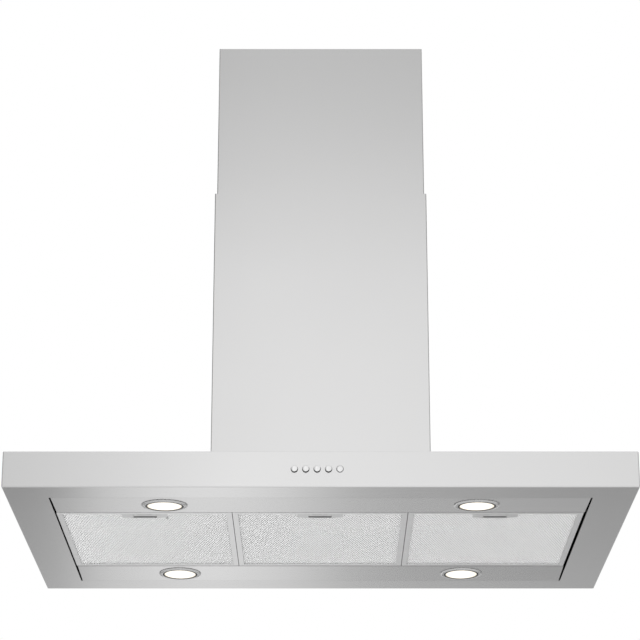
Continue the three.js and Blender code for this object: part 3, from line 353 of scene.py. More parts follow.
def brushed_steel(name, look, grain):
    """Stainless sheet with fine brush marks. With a grain of X they run along X, but along Y on faces that
    look sideways. With a grain of Z they run along Z all over."""
    material, tree, shader = surface(
        name, metallic=1.0, roughness=look.roughness, anisotropic=look.anisotropy
    )
    coords = add(tree, "TexCoord").outputs["Object"]
    normal = add(tree, "NewGeometry").outputs["Normal"]
    fine, long = look.brush_scale, look.brush_scale / MARK_STRETCH

    def stretched(scale):
        return add(tree, "Mapping", {"Vector": coords, "Scale": scale}).outputs["Vector"]

    def chosen(switch, off, on):
        return add(tree, "Mix", {0: switch, 4: off, 5: on}, {"data_type": "VECTOR"}).outputs[1]

    if grain == "Z":
        marks = stretched((fine, fine, long))
        direction = (0.0, 0.0, 1.0)
    else:
        lean = add(tree, "SeparateXYZ", {"Vector": normal}).outputs["X"]
        sideways = math_node(tree, "GREATER_THAN", math_node(tree, "ABSOLUTE", lean), SIDEWAYS)
        marks = chosen(sideways, stretched((long, fine, fine)), stretched((fine, long, fine)))
        direction = chosen(sideways, (1.0, 0.0, 0.0), (0.0, 1.0, 0.0))
    tangent = add(tree, "VectorMath", {0: normal, 1: direction}, {"operation": "CROSS_PRODUCT"})
    tree.links.new(tangent.outputs["Vector"], shader.inputs["Tangent"])
    streaks = add(
        tree, "TexNoise", {"Vector": marks, "Scale": 1.0, "Detail": 4.0, "Roughness": 0.65}
    ).outputs["Fac"]
    dark, light = tones(look.steel, 1 - look.brush_contrast, 1 + look.brush_contrast)
    tint(tree, shader, streaks, dark, light, 0.25, 0.75)
    brushed = between(tree, streaks, look.roughness * 0.94, look.roughness * 1.06)
    smudged = between(tree, object_noise(tree, 5, detail=2.0, vector=coords), -0.01, 0.015)
    tree.links.new(math_node(tree, "ADD", brushed, smudged), shader.inputs["Roughness"])
    bump(tree, shader, streaks, strength=0.04, distance=0.05 * MM)
    return material


def galvanised_steel(look):
    """Zinc-coated sheet with a soft spangle."""
    material, tree, shader = surface("galvanised_steel", metallic=1.0, roughness=0.42)
    coords = add(tree, "TexCoord").outputs["Object"]
    spangle = add(tree, "TexVoronoi", {"Vector": coords, "Scale": 110.0}).outputs["Color"]
    flakes = add(tree, "SeparateXYZ", {"Vector": spangle}).outputs["X"]
    dark, light = tones(look.galvanised, 0.82, 1.12)
    tint(tree, shader, flakes, dark, light, 0.0, 1.0)
    vary_roughness(tree, shader, flakes, 0.34, 0.52, 0.0, 1.0)
    bump(tree, shader, object_noise(tree, 400, vector=coords), strength=0.1, distance=0.05 * MM)
    return material


def satin_aluminium(name, color, roughness, marks, contrast=0.05, metallic=1.0):
    """Aluminium with fine drawing marks along X, so many to the metre."""
    material, tree, shader = surface(name, metallic=metallic, roughness=roughness)
    drawing = object_noise(tree, (marks / DRAWING_STRETCH, marks, marks))
    tint(tree, shader, drawing, *tones(color, 1 - contrast, 1 + contrast))
    vary_roughness(tree, shader, drawing, roughness * 0.85, roughness * 1.2)
    bump(tree, shader, drawing, strength=0.1, distance=0.05 * MM)
    return material


def filter_gauze(look):
    """The pressed stack of finer layers behind a filter's outer mesh, with painted shade in its holes."""
    material, tree, shader = surface("filter_gauze", metallic=0.1, roughness=0.6)
    coords = add(tree, "TexCoord").outputs["Object"]
    cells = add(tree, "TexVoronoi", {"Vector": coords, "Scale": 420.0}, {"feature": "DISTANCE_TO_EDGE"})
    holes = cells.outputs["Distance"]
    # The holes get the darker tone: painted shade deep in the pad.
    strands, shaded_holes = tones(look.mesh, look.gauze_tone, look.gauze_hole_shade)
    tint(tree, shader, holes, strands, shaded_holes, 0.05, 0.35)
    bump(tree, shader, holes, strength=0.6, distance=0.4 * MM)
    return material


def polished(name, color, roughness):
    """Chromed metal with faint polishing haze."""
    material, tree, shader = surface(name, metallic=1.0, roughness=roughness)
    haze = object_noise(tree, 300, detail=2.0)
    tint(tree, shader, haze, *tones(color, 0.97, 1.03))
    vary_roughness(tree, shader, haze, roughness * 0.7, roughness * 1.4)
    return material


def moulded(name, color, roughness):
    """Moulded plastic with a fine spark texture."""
    material, tree, shader = surface(name, roughness=roughness)
    texture = object_noise(tree, 900, detail=2.0)
    tint(tree, shader, texture, *tones(color, 0.93, 1.06))
    vary_roughness(tree, shader, texture, roughness * 0.9, roughness * 1.12)
    bump(tree, shader, texture, strength=0.15, distance=0.1 * MM)
    return material


def lit_glass(name, look, middle):
    """Frosted lamp glass, whitest over the bulb and warmer towards its rim."""
    material, tree, shader = surface(name, roughness=0.3, emission_strength=look.glow_strength)
    coords = add(tree, "TexCoord").outputs["Object"]
    away = add(tree, "VectorMath", {0: coords, 1: tuple(middle)}, {"operation": "DISTANCE"}).outputs["Value"]
    away = between(tree, away, 0.0, 1.0, 0.0, look.glass_radius)
    warm, white = tuple(look.rim_glow), tuple(look.glow)
    glow = ramp(tree, away, [(0.0, white), (0.55, white), (1.0, warm)])
    tree.links.new(glow, shader.inputs["Emission Color"])
    frost = object_noise(tree, 500, vector=coords)
    tint(tree, shader, frost, (0.3, 0.3, 0.29), (0.4, 0.4, 0.39))
    bump(tree, shader, frost, strength=0.3, distance=0.2 * MM)
    return material


# ---------------------------------------------------------------- sizes and colours that a user would change


def length(name, description, default):
    return FloatProperty(name=name, description=description, default=default, unit="LENGTH", precision=4)


def color(name, description, default):
    return FloatVectorProperty(
        name=name, description=description, default=default, subtype="COLOR", min=0, max=1
    )


def share(name, description, default):
    return FloatProperty(name=name, description=description, default=default, min=0, max=1, subtype="FACTOR")


def number(name, description, default, **limits):
    return FloatProperty(name=name, description=description, default=default, **limits)


def whole_number(name, description, default, least):
    return IntProperty(name=name, description=description, default=default, min=least)


class HoodSheetLook(PropertyGroup):
    """Finish of the stainless and galvanised sheet."""

    steel: color("Stainless", "Colour of the stainless sheet", (0.742, 0.74, 0.74))
    galvanised: color("Galvanised", "Colour of the hidden frames and the blower box", (0.52, 0.54, 0.55))
    chrome: color("Chrome", "Colour of bolts, screws, bezels and buttons", (0.82, 0.82, 0.82))
    roughness: share("Roughness", "Mean roughness of the brushed sheet", 0.2)
    anisotropy: share("Brushing", "How much the brush marks stretch a reflection", 0.5)
    brush_contrast: share("Brush contrast", "Difference in tone between brush marks", 0.015)
    brush_scale: number("Brush marks", "Brush marks per metre across the grain", 900)
    canopy_corner: length("Canopy corner", "Radius of the canopy's upright corners", 0.0018)
    canopy_edge: length("Canopy edge", "Radius of the canopy's outer folds", 0.001)
    chimney_corner: length("Chimney corner", "Radius of the chimney's upright corners", 0.0028)
    chimney_edge: length("Chimney edge", "Easing of the chimney sheet's ends", 0.0003)


class HoodFilterLook(PropertyGroup):
    """Sizes and finish of the grease filters."""

    cell_width: length("Cell width", "Diamond of the outer mesh, left to right", 0.004)
    cell_depth: length("Cell depth", "Diamond of the outer mesh, front to back", 0.012)
    strand: length("Strand", "Width of a strand of the outer mesh", 0.0009)
    strand_tilt: length("Strand tilt", "How far a strand's edges lean up", 0.0005)
    strand_sheet: length("Mesh sheet", "Thickness of the expanded sheet", 0.0003)
    inner_cell: length("Inner cell", "Width of a diamond of the mesh on top of a filter", 0.012)
    inner_strand: length("Inner strand", "Width of a strand of the mesh on top of a filter", 0.0016)
    aluminium: color("Aluminium", "Colour of the frames and handles", (0.84, 0.84, 0.84))
    mesh: color("Mesh", "Colour of the wire mesh", (0.86, 0.86, 0.86))
    gauze_tone: share("Gauze tone", "Tone of the inner layers' strands", 0.9)
    # The holes' tone is painted shade, the dark deep in the gauze pad.
    gauze_hole_shade: share("Gauze depth", "Tone of the holes in the inner layers", 0.5)


class HoodLampLook(PropertyGroup):
    """Sizes and glow of the four lamps."""

    glass_radius: length("Glass radius", "Radius of the frosted glass", 0.0257)
    glow: color("Glow", "Colour of the light over the bulb", (1.0, 0.98, 0.92))
    rim_glow: color("Rim glow", "Colour of the light near the glass's rim", (0.66, 0.57, 0.44))
    glow_strength: number("Glow strength", "Strength of the lit glass", 1.05, min=0)
    round_steps: whole_number("Steps", "Steps round a lamp", 72, 12)


class HoodButtonLook(PropertyGroup):
    """Sizes of the push buttons."""

    radius: length("Radius", "Radius of a button's cap", 0.0046)
    edge: length("Edge", "Rounding of a button's rim", 0.0004)
    face: length("Face", "Thickness of the bright disc on a button's cap", 0.0006)
    bush: length("Bush", "Radius of the dark bush round a button", 0.00525)
    dome: length("Dome", "How far a button's face bulges", 0.0002)
    round_steps: whole_number("Steps", "Steps round a button", 48, 12)


class HoodBlowerLook(PropertyGroup):
    """Sizes and colours of the blower and its electrics."""

    blades: whole_number("Blades", "Blades in each half of the wheel", 42, 8)
    blade_sheet: length("Blade sheet", "Thickness of a blade", 0.0006)
    dark: color("Dark plastic", "Colour of the scroll, collar and switch block", (0.022, 0.023, 0.025))
    pale: color("Pale plastic", "Colour of the flaps and the terminal box", (0.62, 0.62, 0.59))
    ceramic: color("Ceramic", "Colour of the bulb sockets", (0.85, 0.83, 0.78))


class HoodStageLook(PropertyGroup):
    """Camera, light and floor."""

    camera_side: length("Side", "Camera right of the canopy's middle", -0.001)
    camera_distance: length("Distance", "Camera in front of the canopy's front", 3.173)
    camera_drop: length("Drop", "Camera below the canopy's underside", 0.92)
    camera_tilt: number("Tilt", "Camera's upward tilt", math.radians(20.25), subtype="ANGLE")
    focal_length: number("Lens", "Focal length in millimetres on a 36 mm sensor", 131.7)
    floor_height: length("Floor", "Height of the floor", -5.5)
    floor_color: color("Floor colour", "Colour of the plain floor", (0.88, 0.88, 0.88))
    ambient: number("Ambient", "Strength of the world's soft light", 0.75, min=0)


# ---------------------------------------------------------------- pieces

FINISH = {}  # each finish's material, and the slot that stands for it


class HOOD_OT_finishes(Operator):
    """Make the finishes and give them to the sheet-metal nodes"""

    bl_idname = "hood.finishes"
    bl_label = "Finishes and sheet metal"

    def execute(self, context):
        scene = context.scene
        sheet, filters, blower = scene.hood_sheet, scene.hood_filters, scene.hood_blower
        screw = tones(sheet.chrome, 0.85)[0]
        handle = tones(filters.aluminium, 0.9)[0]
        # A darker copy of the dark plastic for the button caps and bushes: painted shade of the dark crescent
        # below each button.
        shaded_dark = tones(blower.dark, 0.5)[0]
        by_slot = {
            "brushed_steel": {
                "canopy": brushed_steel("canopy_steel", sheet, "X"),
                "chimney": brushed_steel("chimney_steel", sheet, "Z"),
            },
            "galvanised_steel": {"galvanised": galvanised_steel(sheet)},
            "chrome": {
                "chrome": polished("chrome", sheet.chrome, 0.09),
                "screw": polished("screw_steel", screw, 0.25),
            },
            "filter_aluminium": {
                "frame": satin_aluminium("filter_frame_aluminium", filters.aluminium, 0.38, 700),
                "handle": satin_aluminium("handle_aluminium", handle, 0.42, 900),
                "mesh": satin_aluminium("filter_mesh_aluminium", filters.mesh, 0.5, 1500, 0.02, 0.1),
                "gauze": filter_gauze(filters),
            },
            "dark_plastic": {
                "dark": moulded("dark_plastic", blower.dark, 0.5),
                "shaded_dark": moulded("shaded_dark_plastic", shaded_dark, 0.85),
            },
            "pale_plastic": {"pale": moulded("pale_plastic", blower.pale, 0.42)},
            "bulb_ceramic": {"ceramic": moulded("ceramic", blower.ceramic, 0.55)},
        }
        for slot, materials in by_slot.items():
            for name, material in materials.items():
                FINISH[name] = (material, slot)
        for nodes, finish in (
            (PANEL_NODES, "canopy"), (CHIMNEY_REARS, "chimney"), (GALVANISED_NODES, "galvanised"),
            (FRAME_NODES, "frame"),
        ):
            for name in nodes:
                dress(name, FINISH[finish])
        canopy = folded_sheet("canopy_shell", sheet.canopy_corner, sheet.canopy_edge)
        piece("canopy", canopy, FINISH["canopy"], "hood_body", "canopy_shell")
        for section, body in CHIMNEYS:
            node = f"{section}_chimney_front"
            front = folded_sheet(node, sheet.chimney_corner, sheet.chimney_edge)
            piece(f"{section}_chimney", front, FINISH["chimney"], body, node)
        return {"FINISHED"}


SLIVER = 0.03  # of a diamond's area: a smaller cut piece is left out
SNAP = 1e-7  # a point this near to a cut lies on it


def expanded_mesh(cell, strand, tilt, thickness, area, notch, height):
    """Expanded sheet: a lattice of diamonds with sloping strands. It covers an area (x0, x1, y0, y1), less a
    notch (left, right, back) that starts at its front edge."""
    (cell_x, cell_y), (x0, x1, y0, y1), (left, right, back) = cell, area, notch
    count = 2 * (int((x1 - x0) / cell_x / 2 + (y1 - y0) / cell_y / 2) + 1)
    bm = bmesh.new()
    bmesh.ops.create_grid(bm, x_segments=count, y_segments=count, size=count / 2)
    bmesh.ops.rotate(bm, cent=(0, 0, 0), matrix=Matrix.Rotation(math.pi / 4, 3, "Z"), verts=bm.verts)
    bmesh.ops.scale(bm, vec=(cell_x / math.sqrt(2), cell_y / math.sqrt(2), 1), verts=bm.verts)
    bmesh.ops.translate(bm, vec=((x0 + x1) / 2, (y0 + y1) / 2, height), verts=bm.verts)

    def cut(point, direction, faces, **clear):
        edges = dict.fromkeys(e for f in faces for e in f.edges)
        verts = dict.fromkeys(v for f in faces for v in f.verts)
        bmesh.ops.bisect_plane(
            bm, geom=[*verts, *edges, *faces], dist=SNAP, plane_co=point, plane_no=direction, **clear
        )

    def near(x_low, x_high, y_high):
        centres = ((f, f.calc_center_median()) for f in bm.faces)
        return [f for f, c in centres if x_low < c.x < x_high and c.y < y_high]

    for point, direction in (((x0, 0, 0), (-1, 0, 0)), ((x1, 0, 0), (1, 0, 0)),
                             ((0, y0, 0), (0, -1, 0)), ((0, y1, 0), (0, 1, 0))):
        cut(point, direction, bm.faces[:], clear_outer=True)
    cut((0, back, 0), (0, 1, 0), near(left - cell_x, right + cell_x, back + cell_y))
    for x in (left, right):
        cut((x, 0, 0), (1, 0, 0), near(x - cell_x, x + cell_x, back))
    slivers = [f for f in bm.faces if f.calc_area() < SLIVER * cell_x * cell_y]
    dropped = dict.fromkeys([*near(left, right, back), *slivers])
    bmesh.ops.delete(bm, geom=list(dropped), context="FACES")
    holes = bm.faces[:]
    bmesh.ops.inset_individual(bm, faces=holes, thickness=strand / 2, depth=tilt, use_even_offset=True)
    bmesh.ops.delete(bm, geom=[f for f in holes if f.is_valid], context="FACES")
    bmesh.ops.remove_doubles(bm, verts=bm.verts, dist=MERGE)
    bmesh.ops.solidify(bm, geom=bm.faces[:], thickness=thickness)
    bmesh.ops.recalc_face_normals(bm, faces=bm.faces)
    return bm


INNER_STRETCH = 1.5  # how many times deeper than wide the upper mesh's diamonds are


class HOOD_OT_filters(Operator):
    """Fill the three filter frames with expanded mesh and gauze"""

    bl_idname = "hood.filters"
    bl_label = "Grease filters"

    def execute(self, context):
        look = context.scene.hood_filters
        inset, gauze_gap = 0.2 * MM, 1.6 * MM
        outer_cell = (look.cell_width, look.cell_depth)
        inner_cell = (look.inner_cell, look.inner_cell * INNER_STRETCH)
        for column in COLUMNS:
            low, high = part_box(f"filter_net_{column}")
            tray_low, tray_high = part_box(f"handle_tray_{column}")
            x0, x1, y0, y1 = low.x + inset, high.x - inset, low.y + inset, high.y - inset
            left, right, back = tray_low.x - GAP, tray_high.x + GAP, tray_high.y + GAP
            bottom, top = low.z + inset, high.z - inset
            area, notch = (x0, x1, y0, y1), (left, right, back)
            meshes = [
                expanded_mesh(cell, strand, tilt, look.strand_sheet, area, notch, height)
                for cell, strand, tilt, height in (
                    (outer_cell, look.strand, look.strand_tilt, bottom),
                    (inner_cell, look.inner_strand, -look.strand_tilt, top),
                )
            ]
            body = f"filter_{column}"
            piece(f"filter_mesh_{column}", together(*meshes), FINISH["mesh"], body, f"filter_net_{column}")
            outline = [
                (x0, y0), (left, y0), (left, back), (right, back), (right, y0), (x1, y0), (x1, y1), (x0, y1),
            ]
            pad = drawn(outline, bottom + gauze_gap, top - gauze_gap)
            piece(f"filter_gauze_{column}", pad, FINISH["gauze"], body)
        return {"FINISHED"}


def rectangular_ring(outer, inner, low, high, radius):
    """A flat ring between two rectangles, each (half width, front, back), with its outer edges rounded."""
    bm = bmesh.new()
    edges = []
    for half, front, back in (outer, inner):
        outline = ((-half, front), (half, front), (half, back), (-half, back))
        corners = [bm.verts.new((x, y, low)) for x, y in outline]
        edges += [bm.edges.new((corners[i], corners[(i + 1) % 4])) for i in range(4)]
    ring = bmesh.ops.bridge_loops(bm, edges=edges)["faces"]
    up = bmesh.ops.extrude_face_region(bm, geom=ring)
    verts = [g for g in up["geom"] if isinstance(g, bmesh.types.BMVert)]
    bmesh.ops.translate(bm, vec=(0, 0, high - low), verts=verts)
    bmesh.ops.recalc_face_normals(bm, faces=bm.faces)
    folds = [e for e in bm.edges if len(e.link_faces) == 2 and e.calc_face_angle(0) > SHARP]
    return soften(bm, folds, radius)


def tray_lip(low, high):
    """The raised lip round a handle tray's opening, with the middle of its width at 0."""
    opening_half, opening_front, opening_back = 17 * MM, high.y - 22 * MM, high.y - 2 * MM
    side_width, front_width, back_width = 4.5 * MM, 2 * MM, 1.6 * MM
    setback, drop, sunk = 0.2 * MM, 0.7 * MM, 0.1 * MM
    return rectangular_ring(
        (opening_half + side_width, opening_front - front_width, opening_back + back_width),
        (opening_half + setback, opening_front - setback, opening_back + setback),
        low.z - drop, low.z + sunk, 0.3 * MM,
    )


def tray_shade_plates(low, high, latch_top):
    """Dark plastic that paints the shade inside a handle tray: a ceiling over the latch, and a strip at the
    rear.
    """
    inset, strip_front, strip_back = 1.2 * MM, 1.6 * MM, 0.9 * MM

    def across(front, back, bottom):
        return block((low.x + inset, front, bottom), (high.x - inset, back, high.z - inset))

    ceiling = across(low.y + inset, high.y - inset, latch_top + GAP)
    strip = across(high.y - strip_front, high.y - strip_back, low.z + inset)
    return together(ceiling, strip)


def latch_grip(node, middle, bottom):
    """A latch's own mesh cut off at the tray's underside, with three ribs for the finger."""
    latch = node_copy(node)
    bmesh.ops.bisect_plane(
        latch, geom=[*latch.verts, *latch.edges, *latch.faces], plane_co=(0, 0, bottom + GAP / 2),
        plane_no=(0, 0, -1), clear_outer=True,
    )
    bmesh.ops.holes_fill(latch, edges=[e for e in latch.edges if e.is_boundary])
    for face in latch.faces:
        face.smooth = False
    half_width, half_rib, rear = 11 * MM, 0.5 * MM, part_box(node)[1].y
    ribs = [
        block(
            (middle - half_width, y - half_rib, bottom - GAP),
            (middle + half_width, y + half_rib, bottom + 2 * GAP),
            0.2 * MM,
        )
        for y in (rear - 5 * MM, rear - 8 * MM, rear - 11 * MM)
    ]
    return together(latch, *ribs)


class HOOD_OT_handles(Operator):
    """Build the filters' handle trays and latches"""

    bl_idname = "hood.handles"
    bl_label = "Filter handles"

    def execute(self, context):
        for column in COLUMNS:
            body = f"filter_{column}"
            tray_node, latch_node = f"handle_tray_{column}", f"filter_latch_{column}"
            low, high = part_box(tray_node)
            middle = (low.x + high.x) / 2
            tray = together(node_copy(tray_node), (tray_lip(low, high), at(middle, 0, 0)))
            piece(f"handle_{column}", tray, FINISH["handle"], body, tray_node)
            # Painted shade: dark plastic where the inside of the tray lies in shade.
            tray_shade = tray_shade_plates(low, high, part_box(latch_node)[1].z)
            piece(f"handle_shade_{column}", tray_shade, FINISH["dark"], body)
            grip = latch_grip(latch_node, middle, low.z)
            piece(f"latch_grip_{column}", grip, FINISH["handle"], f"latch_{column}", latch_node)
        return {"FINISHED"}


# Outlines of the turned lamp parts, (radius, height) in millimetres from the middle of the panel's underside.
BEZEL = [
    (27.6, 8.0), (27.6, -1.5), (27.9, -2.0), (28.5, -2.2), (29.2, -2.1), (29.7, -1.6), (29.9, -1.0),
    (30.5, -1.0), (30.8, -1.5), (31.3, -1.7), (32.3, -1.4), (33.2, -0.95), (33.5, -0.6), (33.5, -0.3),
    (28.9, -0.3), (28.9, 8.0),
]
CAN = [
    (25.0, -1.6), (25.3, -1.75), (26.7, -1.75), (27.0, -1.6), (27.0, 8.3), (28.9, 8.3), (28.9, 9.3),
    (27.2, 10.6), (21.5, 16.2), (13.5, 21.2), (5.8, 24.0), (4.8, 24.0), (4.8, 23.0), (13.0, 20.2),
    (21.0, 15.3), (26.0, 9.8), (26.0, -0.6), (25.0, -0.6),
]
# A dark ring in the groove between the can and the bezel: painted shade of the groove.
SHADE_RING = [(25.2, -1.8), (25.2, -2.1), (25.4, -2.2), (27.2, -2.2), (27.4, -2.1), (27.4, -1.8)]
GLASS = [
    (0, 2.1), (25.5, 2.1), (25.7, 1.9), (25.7, -0.3), (24.7, -0.3), (24.7, -1.3), (21.0, -2.0), (15.0, -2.6),
    (8.0, -2.85), (0, -2.9),
]
BULB = [
    (0, 10.3), (2.2, 10.8), (3.8, 12.2), (4.5, 14.6), (4.5, 24.3), (7.4, 24.3), (8.0, 24.9), (8.0, 28.7),
    (7.4, 29.3), (0, 29.3),
]


class HOOD_OT_lamps(Operator):
    """Build the four lamps"""

    bl_idname = "hood.lamps"
    bl_label = "Lamps"

    def execute(self, context):
        look = context.scene.hood_lamps
        panel_low, panel_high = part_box("lamp_panel_front")
        tilt = math.degrees(math.atan(PANEL_RISE / (panel_high.y - panel_low.y)))
        for row, side in ROWS:
            for column in LAMP_COLUMNS:
                name = f"{row}_{column}"
                middle = centre(f"lamp_bezel_{name}")
                place = at(middle.x, middle.y, UNDERSIDE + PANEL_RISE / 2) @ turn(-side * tilt, "X")
                glass = (lit_glass(f"lamp_glass_{name}_lit", look, place.translation), "lamp_glass")
                for part, profile, finish in (
                    ("bezel", BEZEL, FINISH["screw"]), ("can", CAN, FINISH["screw"]),
                    ("glass", GLASS, glass), ("bulb", BULB, FINISH["ceramic"]),
                ):
                    bm = placed(turned(profile, look.round_steps), place)
                    piece(f"{part}_{name}", bm, finish, "hood_body", f"lamp_{part}_{name}")
                # A dark ring as painted shade in the groove round the glass.
                shade_ring = placed(turned(SHADE_RING, look.round_steps), place)
                piece(f"gasket_{name}", shade_ring, FINISH["dark"], "hood_body")
        return {"FINISHED"}


class HOOD_OT_buttons(Operator):
    """Build the five push buttons, their bushes and the switch block"""

    bl_idname = "hood.buttons"
    bl_label = "Push buttons"

    def execute(self, context):
        look = context.scene.hood_buttons
        # Outlines are (radius, depth behind the fascia) in millimetres, for a button that isn't pressed.
        radius, edge, dome, outer = look.radius / MM, look.edge / MM, look.dome / MM, look.bush / MM
        face, cap_end, stem_radius, stem_end = -4.0, 5.0, 2.5, 15.0
        joint = look.face / MM + face
        bore, bush_front, bush_rear = radius + 0.15, 0.1, 1.2
        rim = [
            (radius - edge * (1 - math.sin(a)), face + dome + edge * (1 - math.cos(a)))
            for a in (0, math.pi / 6, math.pi / 3, math.pi / 2)
        ]
        disc = [(0, face), ((radius - edge) / 2, face + dome / 4), *rim, (radius, joint), (0, joint)]
        cap = [
            (0, joint), (radius, joint), (radius, cap_end), (stem_radius, cap_end), (stem_radius, stem_end),
            (0, stem_end),
        ]
        bush = [(bore, bush_rear), (bore, bush_front), (outer, bush_front), (outer, bush_rear)]
        bushes = []
        inwards = turn(-90, "X")
        for name in BUTTONS:
            body = f"button_{name}"
            middle, front = centre(body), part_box(body)[0].y
            place = at(middle.x, front - face * MM, middle.z) @ inwards
            # The caps and bushes are in the darker plastic as painted shade of the crescent below each
            # button; only the face disc is chrome.
            piece(f"push_{name}", placed(turned(cap, look.round_steps), place), FINISH["shaded_dark"], body, body)
            piece(f"push_face_{name}", placed(turned(disc, look.round_steps), place), FINISH["chrome"], body)
            bushes.append((turned(bush, look.round_steps), at(middle.x, FASCIA, middle.z) @ inwards))
        piece("button_bushes", together(*bushes), FINISH["shaded_dark"], "hood_body")
        low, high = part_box("switch_block")
        half_width, half_sheet, front, rear = 1.6 * MM, 0.4 * MM, high.y - 0.5 * MM, high.y + 6 * MM
        tabs = [
            block((x - half_width, front, z - half_sheet), (x + half_width, rear, z + half_sheet), 0.1 * MM)
            for x in evenly(low.x + 8 * MM, high.x - 8 * MM, 6) for z in (low.z + 6 * MM, high.z - 6 * MM)
        ]
        piece("switch_tabs", together(*tabs), FINISH["screw"], "hood_body")
        piece("switch_body", node_copy("switch_block"), FINISH["dark"], "hood_body", "switch_block")
        return {"FINISHED"}


def pan_screw(radius=3.2):
    """A pan screw's head with a ring-shaped groove, its top along +Z, from its radius in millimetres."""
    groove = [(0, 1.3), (0.5, 1.28), (0.6, 0.7), (0.9, 0.7), (1.0, 1.25)]
    dome = [(radius * 0.55, 1.12), (radius * 0.85, 0.75), (radius, 0.3), (radius, 0), (0, 0)]
    return turned(groove + dome, 20)


def frame_bolt(reach):
    """A hexagon bolt along Z with its washer and nut, from -reach to reach."""
    hexagon, washer_radius, shank_radius = 5.5 * MM, 5.8 * MM, 3 * MM
    head, nut, washer, inside = 3.6 * MM, 2 * MM, 0.4 * MM, 0.5 * MM
    return together(
        (cylinder(hexagon, head, 6, 0.4 * MM), at(0, 0, -reach)),
        (cylinder(washer_radius, washer, 32), at(0, 0, head - reach)),
        (cylinder(hexagon, nut, 6, 0.3 * MM), at(0, 0, reach - nut)),
        (cylinder(shank_radius, 2 * (reach - inside), 24), at(0, 0, inside - reach)),
    )


class HOOD_OT_fasteners(Operator):
    """Fit the frame bolts and the small screws"""

    bl_idname = "hood.fasteners"
    bl_label = "Bolts and screws"

    def execute(self, context):
        for i, side in enumerate(("right", "rear", "left", "front")):
            node = f"frame_bolt_{side}"
            low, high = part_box(node)
            reach = (high - low)[0 if side in ("right", "left") else 1] / 2
            place = at(*centre(node)) @ turn(90 * i, "Z") @ turn(90, "Y")
            piece(f"bolt_{side}", placed(frame_bolt(reach), place), FINISH["screw"], "hood_body", node)

        from_end, from_side = 30 * MM, 6 * MM
        for section, body, count in (("lower", "hood_body", 3), ("upper", "ceiling_frame", 1)):
            low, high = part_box(f"{section}_chimney_front")
            heights = evenly(low.z + from_end, high.z - from_end, 3)[-count:]
            places = [
                at(side * (high.x - from_side), high.y, z) @ turn(-90, "X") for side in SIDES for z in heights
            ]
            piece(f"{section}_chimney_screws", copies(pan_screw(2.6), places), FINISH["screw"], body)

        flange, pitch, level = 142.4 * MM, 110 * MM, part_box("blower_box")[0].z + 1 * MM
        spots = [(side * flange, step * pitch) for side in SIDES for step in (-1, 0, 1)]
        places = [at(x, y, level) for x, y in spots] + [at(y, x, level) for x, y in spots]
        piece("blower_screws", copies(pan_screw(2.4), places), FINISH["screw"], "hood_body")
        return {"FINISHED"}


# Outlines of the fan's turned parts, (radius, place along the axis) in millimetres.
HUB = [
    (4.3, -7), (9.2, -7), (10, -6.2), (10, -1.6), (12, -1), (60, -1), (66, -0.6), (69.6, -0.6),
    (69.6, 0.6), (66, 0.6), (60, 1), (12, 1), (10, 1.6), (10, 6.2), (9.2, 7), (4.3, 7),
]
BELLMOUTH = [(56, 0), (56, -0.8), (56.5, -1.4), (57.5, -1.8), (60, -2), (62, -1.4), (62.4, 0)]
MOTOR = [
    (0, 7.3), (10, 7.3), (12, 8.2), (36, 8.4), (40, 9.4), (42, 12), (42, 55), (40.5, 58.5), (37, 60),
    (16, 60.2), (14, 61.3), (0, 61.3),
]
SHAFT = [(0, -8), (3.6, -8), (4, -7.6), (4, 8.3), (0, 8.3)]
WHEEL_HALF = 50.0  # half of the wheel's length
BLADE_SPINE = [(58.4, 0.0), (62.0, 2.0), (66.0, 5.4), (69.4, 8.0)]  # radius, and degrees round the wheel


def fan_wheel(look):
    """A double-inlet wheel along Z: a hub disc between two rings, and curved blades."""
    half, lap = WHEEL_HALF, 1.5
    ring = [
        (57.5, half - 3), (57.5, half - 0.6), (58.1, half), (69.4, half), (70.0, half - 0.6),
        (70.0, half - 3),
    ]
    rings = [turned([(r, side * z) for r, z in ring]) for side in SIDES]
    blade = bmesh.new()
    verts = []
    for radius, degrees in BLADE_SPINE:
        x, y = radius * MM * math.cos(math.radians(degrees)), radius * MM * math.sin(math.radians(degrees))
        verts.append(blade.verts.new((x, y, (lap - half) * MM)))
    line = [blade.edges.new(pair) for pair in zip(verts, verts[1:])]
    up = bmesh.ops.extrude_edge_only(blade, edges=line)
    moved = [g for g in up["geom"] if isinstance(g, bmesh.types.BMVert)]
    bmesh.ops.translate(blade, vec=(0, 0, 2 * (half - lap) * MM), verts=moved)
    bmesh.ops.solidify(blade, geom=blade.faces[:], thickness=look.blade_sheet)
    bmesh.ops.recalc_face_normals(blade, faces=blade.faces)
    blades = copies(smooth(blade), [turn(i * 360 / look.blades, "Z") for i in range(look.blades)])
    return together(turned(HUB), *rings, blades)


def fan_motor():
    """The motor along Z, on its shaft and on three arms."""
    arm = block((20 * MM, -6 * MM, 56.4 * MM), (66 * MM, 6 * MM, 58.3 * MM), 0.5 * MM)
    return together(turned(MOTOR), turned(SHAFT, 32), copies(arm, [turn(120 * i, "Z") for i in range(3)]))


class HOOD_OT_blower(Operator):
    """Build the scroll, the wheel and the motor"""

    bl_idname = "hood.blower"
    bl_label = "Blower"

    def execute(self, context):
        axis = at(*centre("fan_impeller")) @ turn(90, "Y")
        wheel = placed(fan_wheel(context.scene.hood_blower), axis)
        piece("blower_wheel", wheel, FINISH["galvanised"], "fan_impeller", "fan_impeller")
        piece("scroll_housing", node_copy("fan_scroll"), FINISH["dark"], "hood_body", "fan_scroll")
        bellmouth = placed(turned(BELLMOUTH), axis @ at(0, 0, -56.05 * MM))
        piece("scroll_bellmouth", bellmouth, FINISH["dark"], "hood_body")
        piece("blower_motor", placed(fan_motor(), axis), FINISH["galvanised"], "hood_body", "fan_motor")
        return {"FINISHED"}


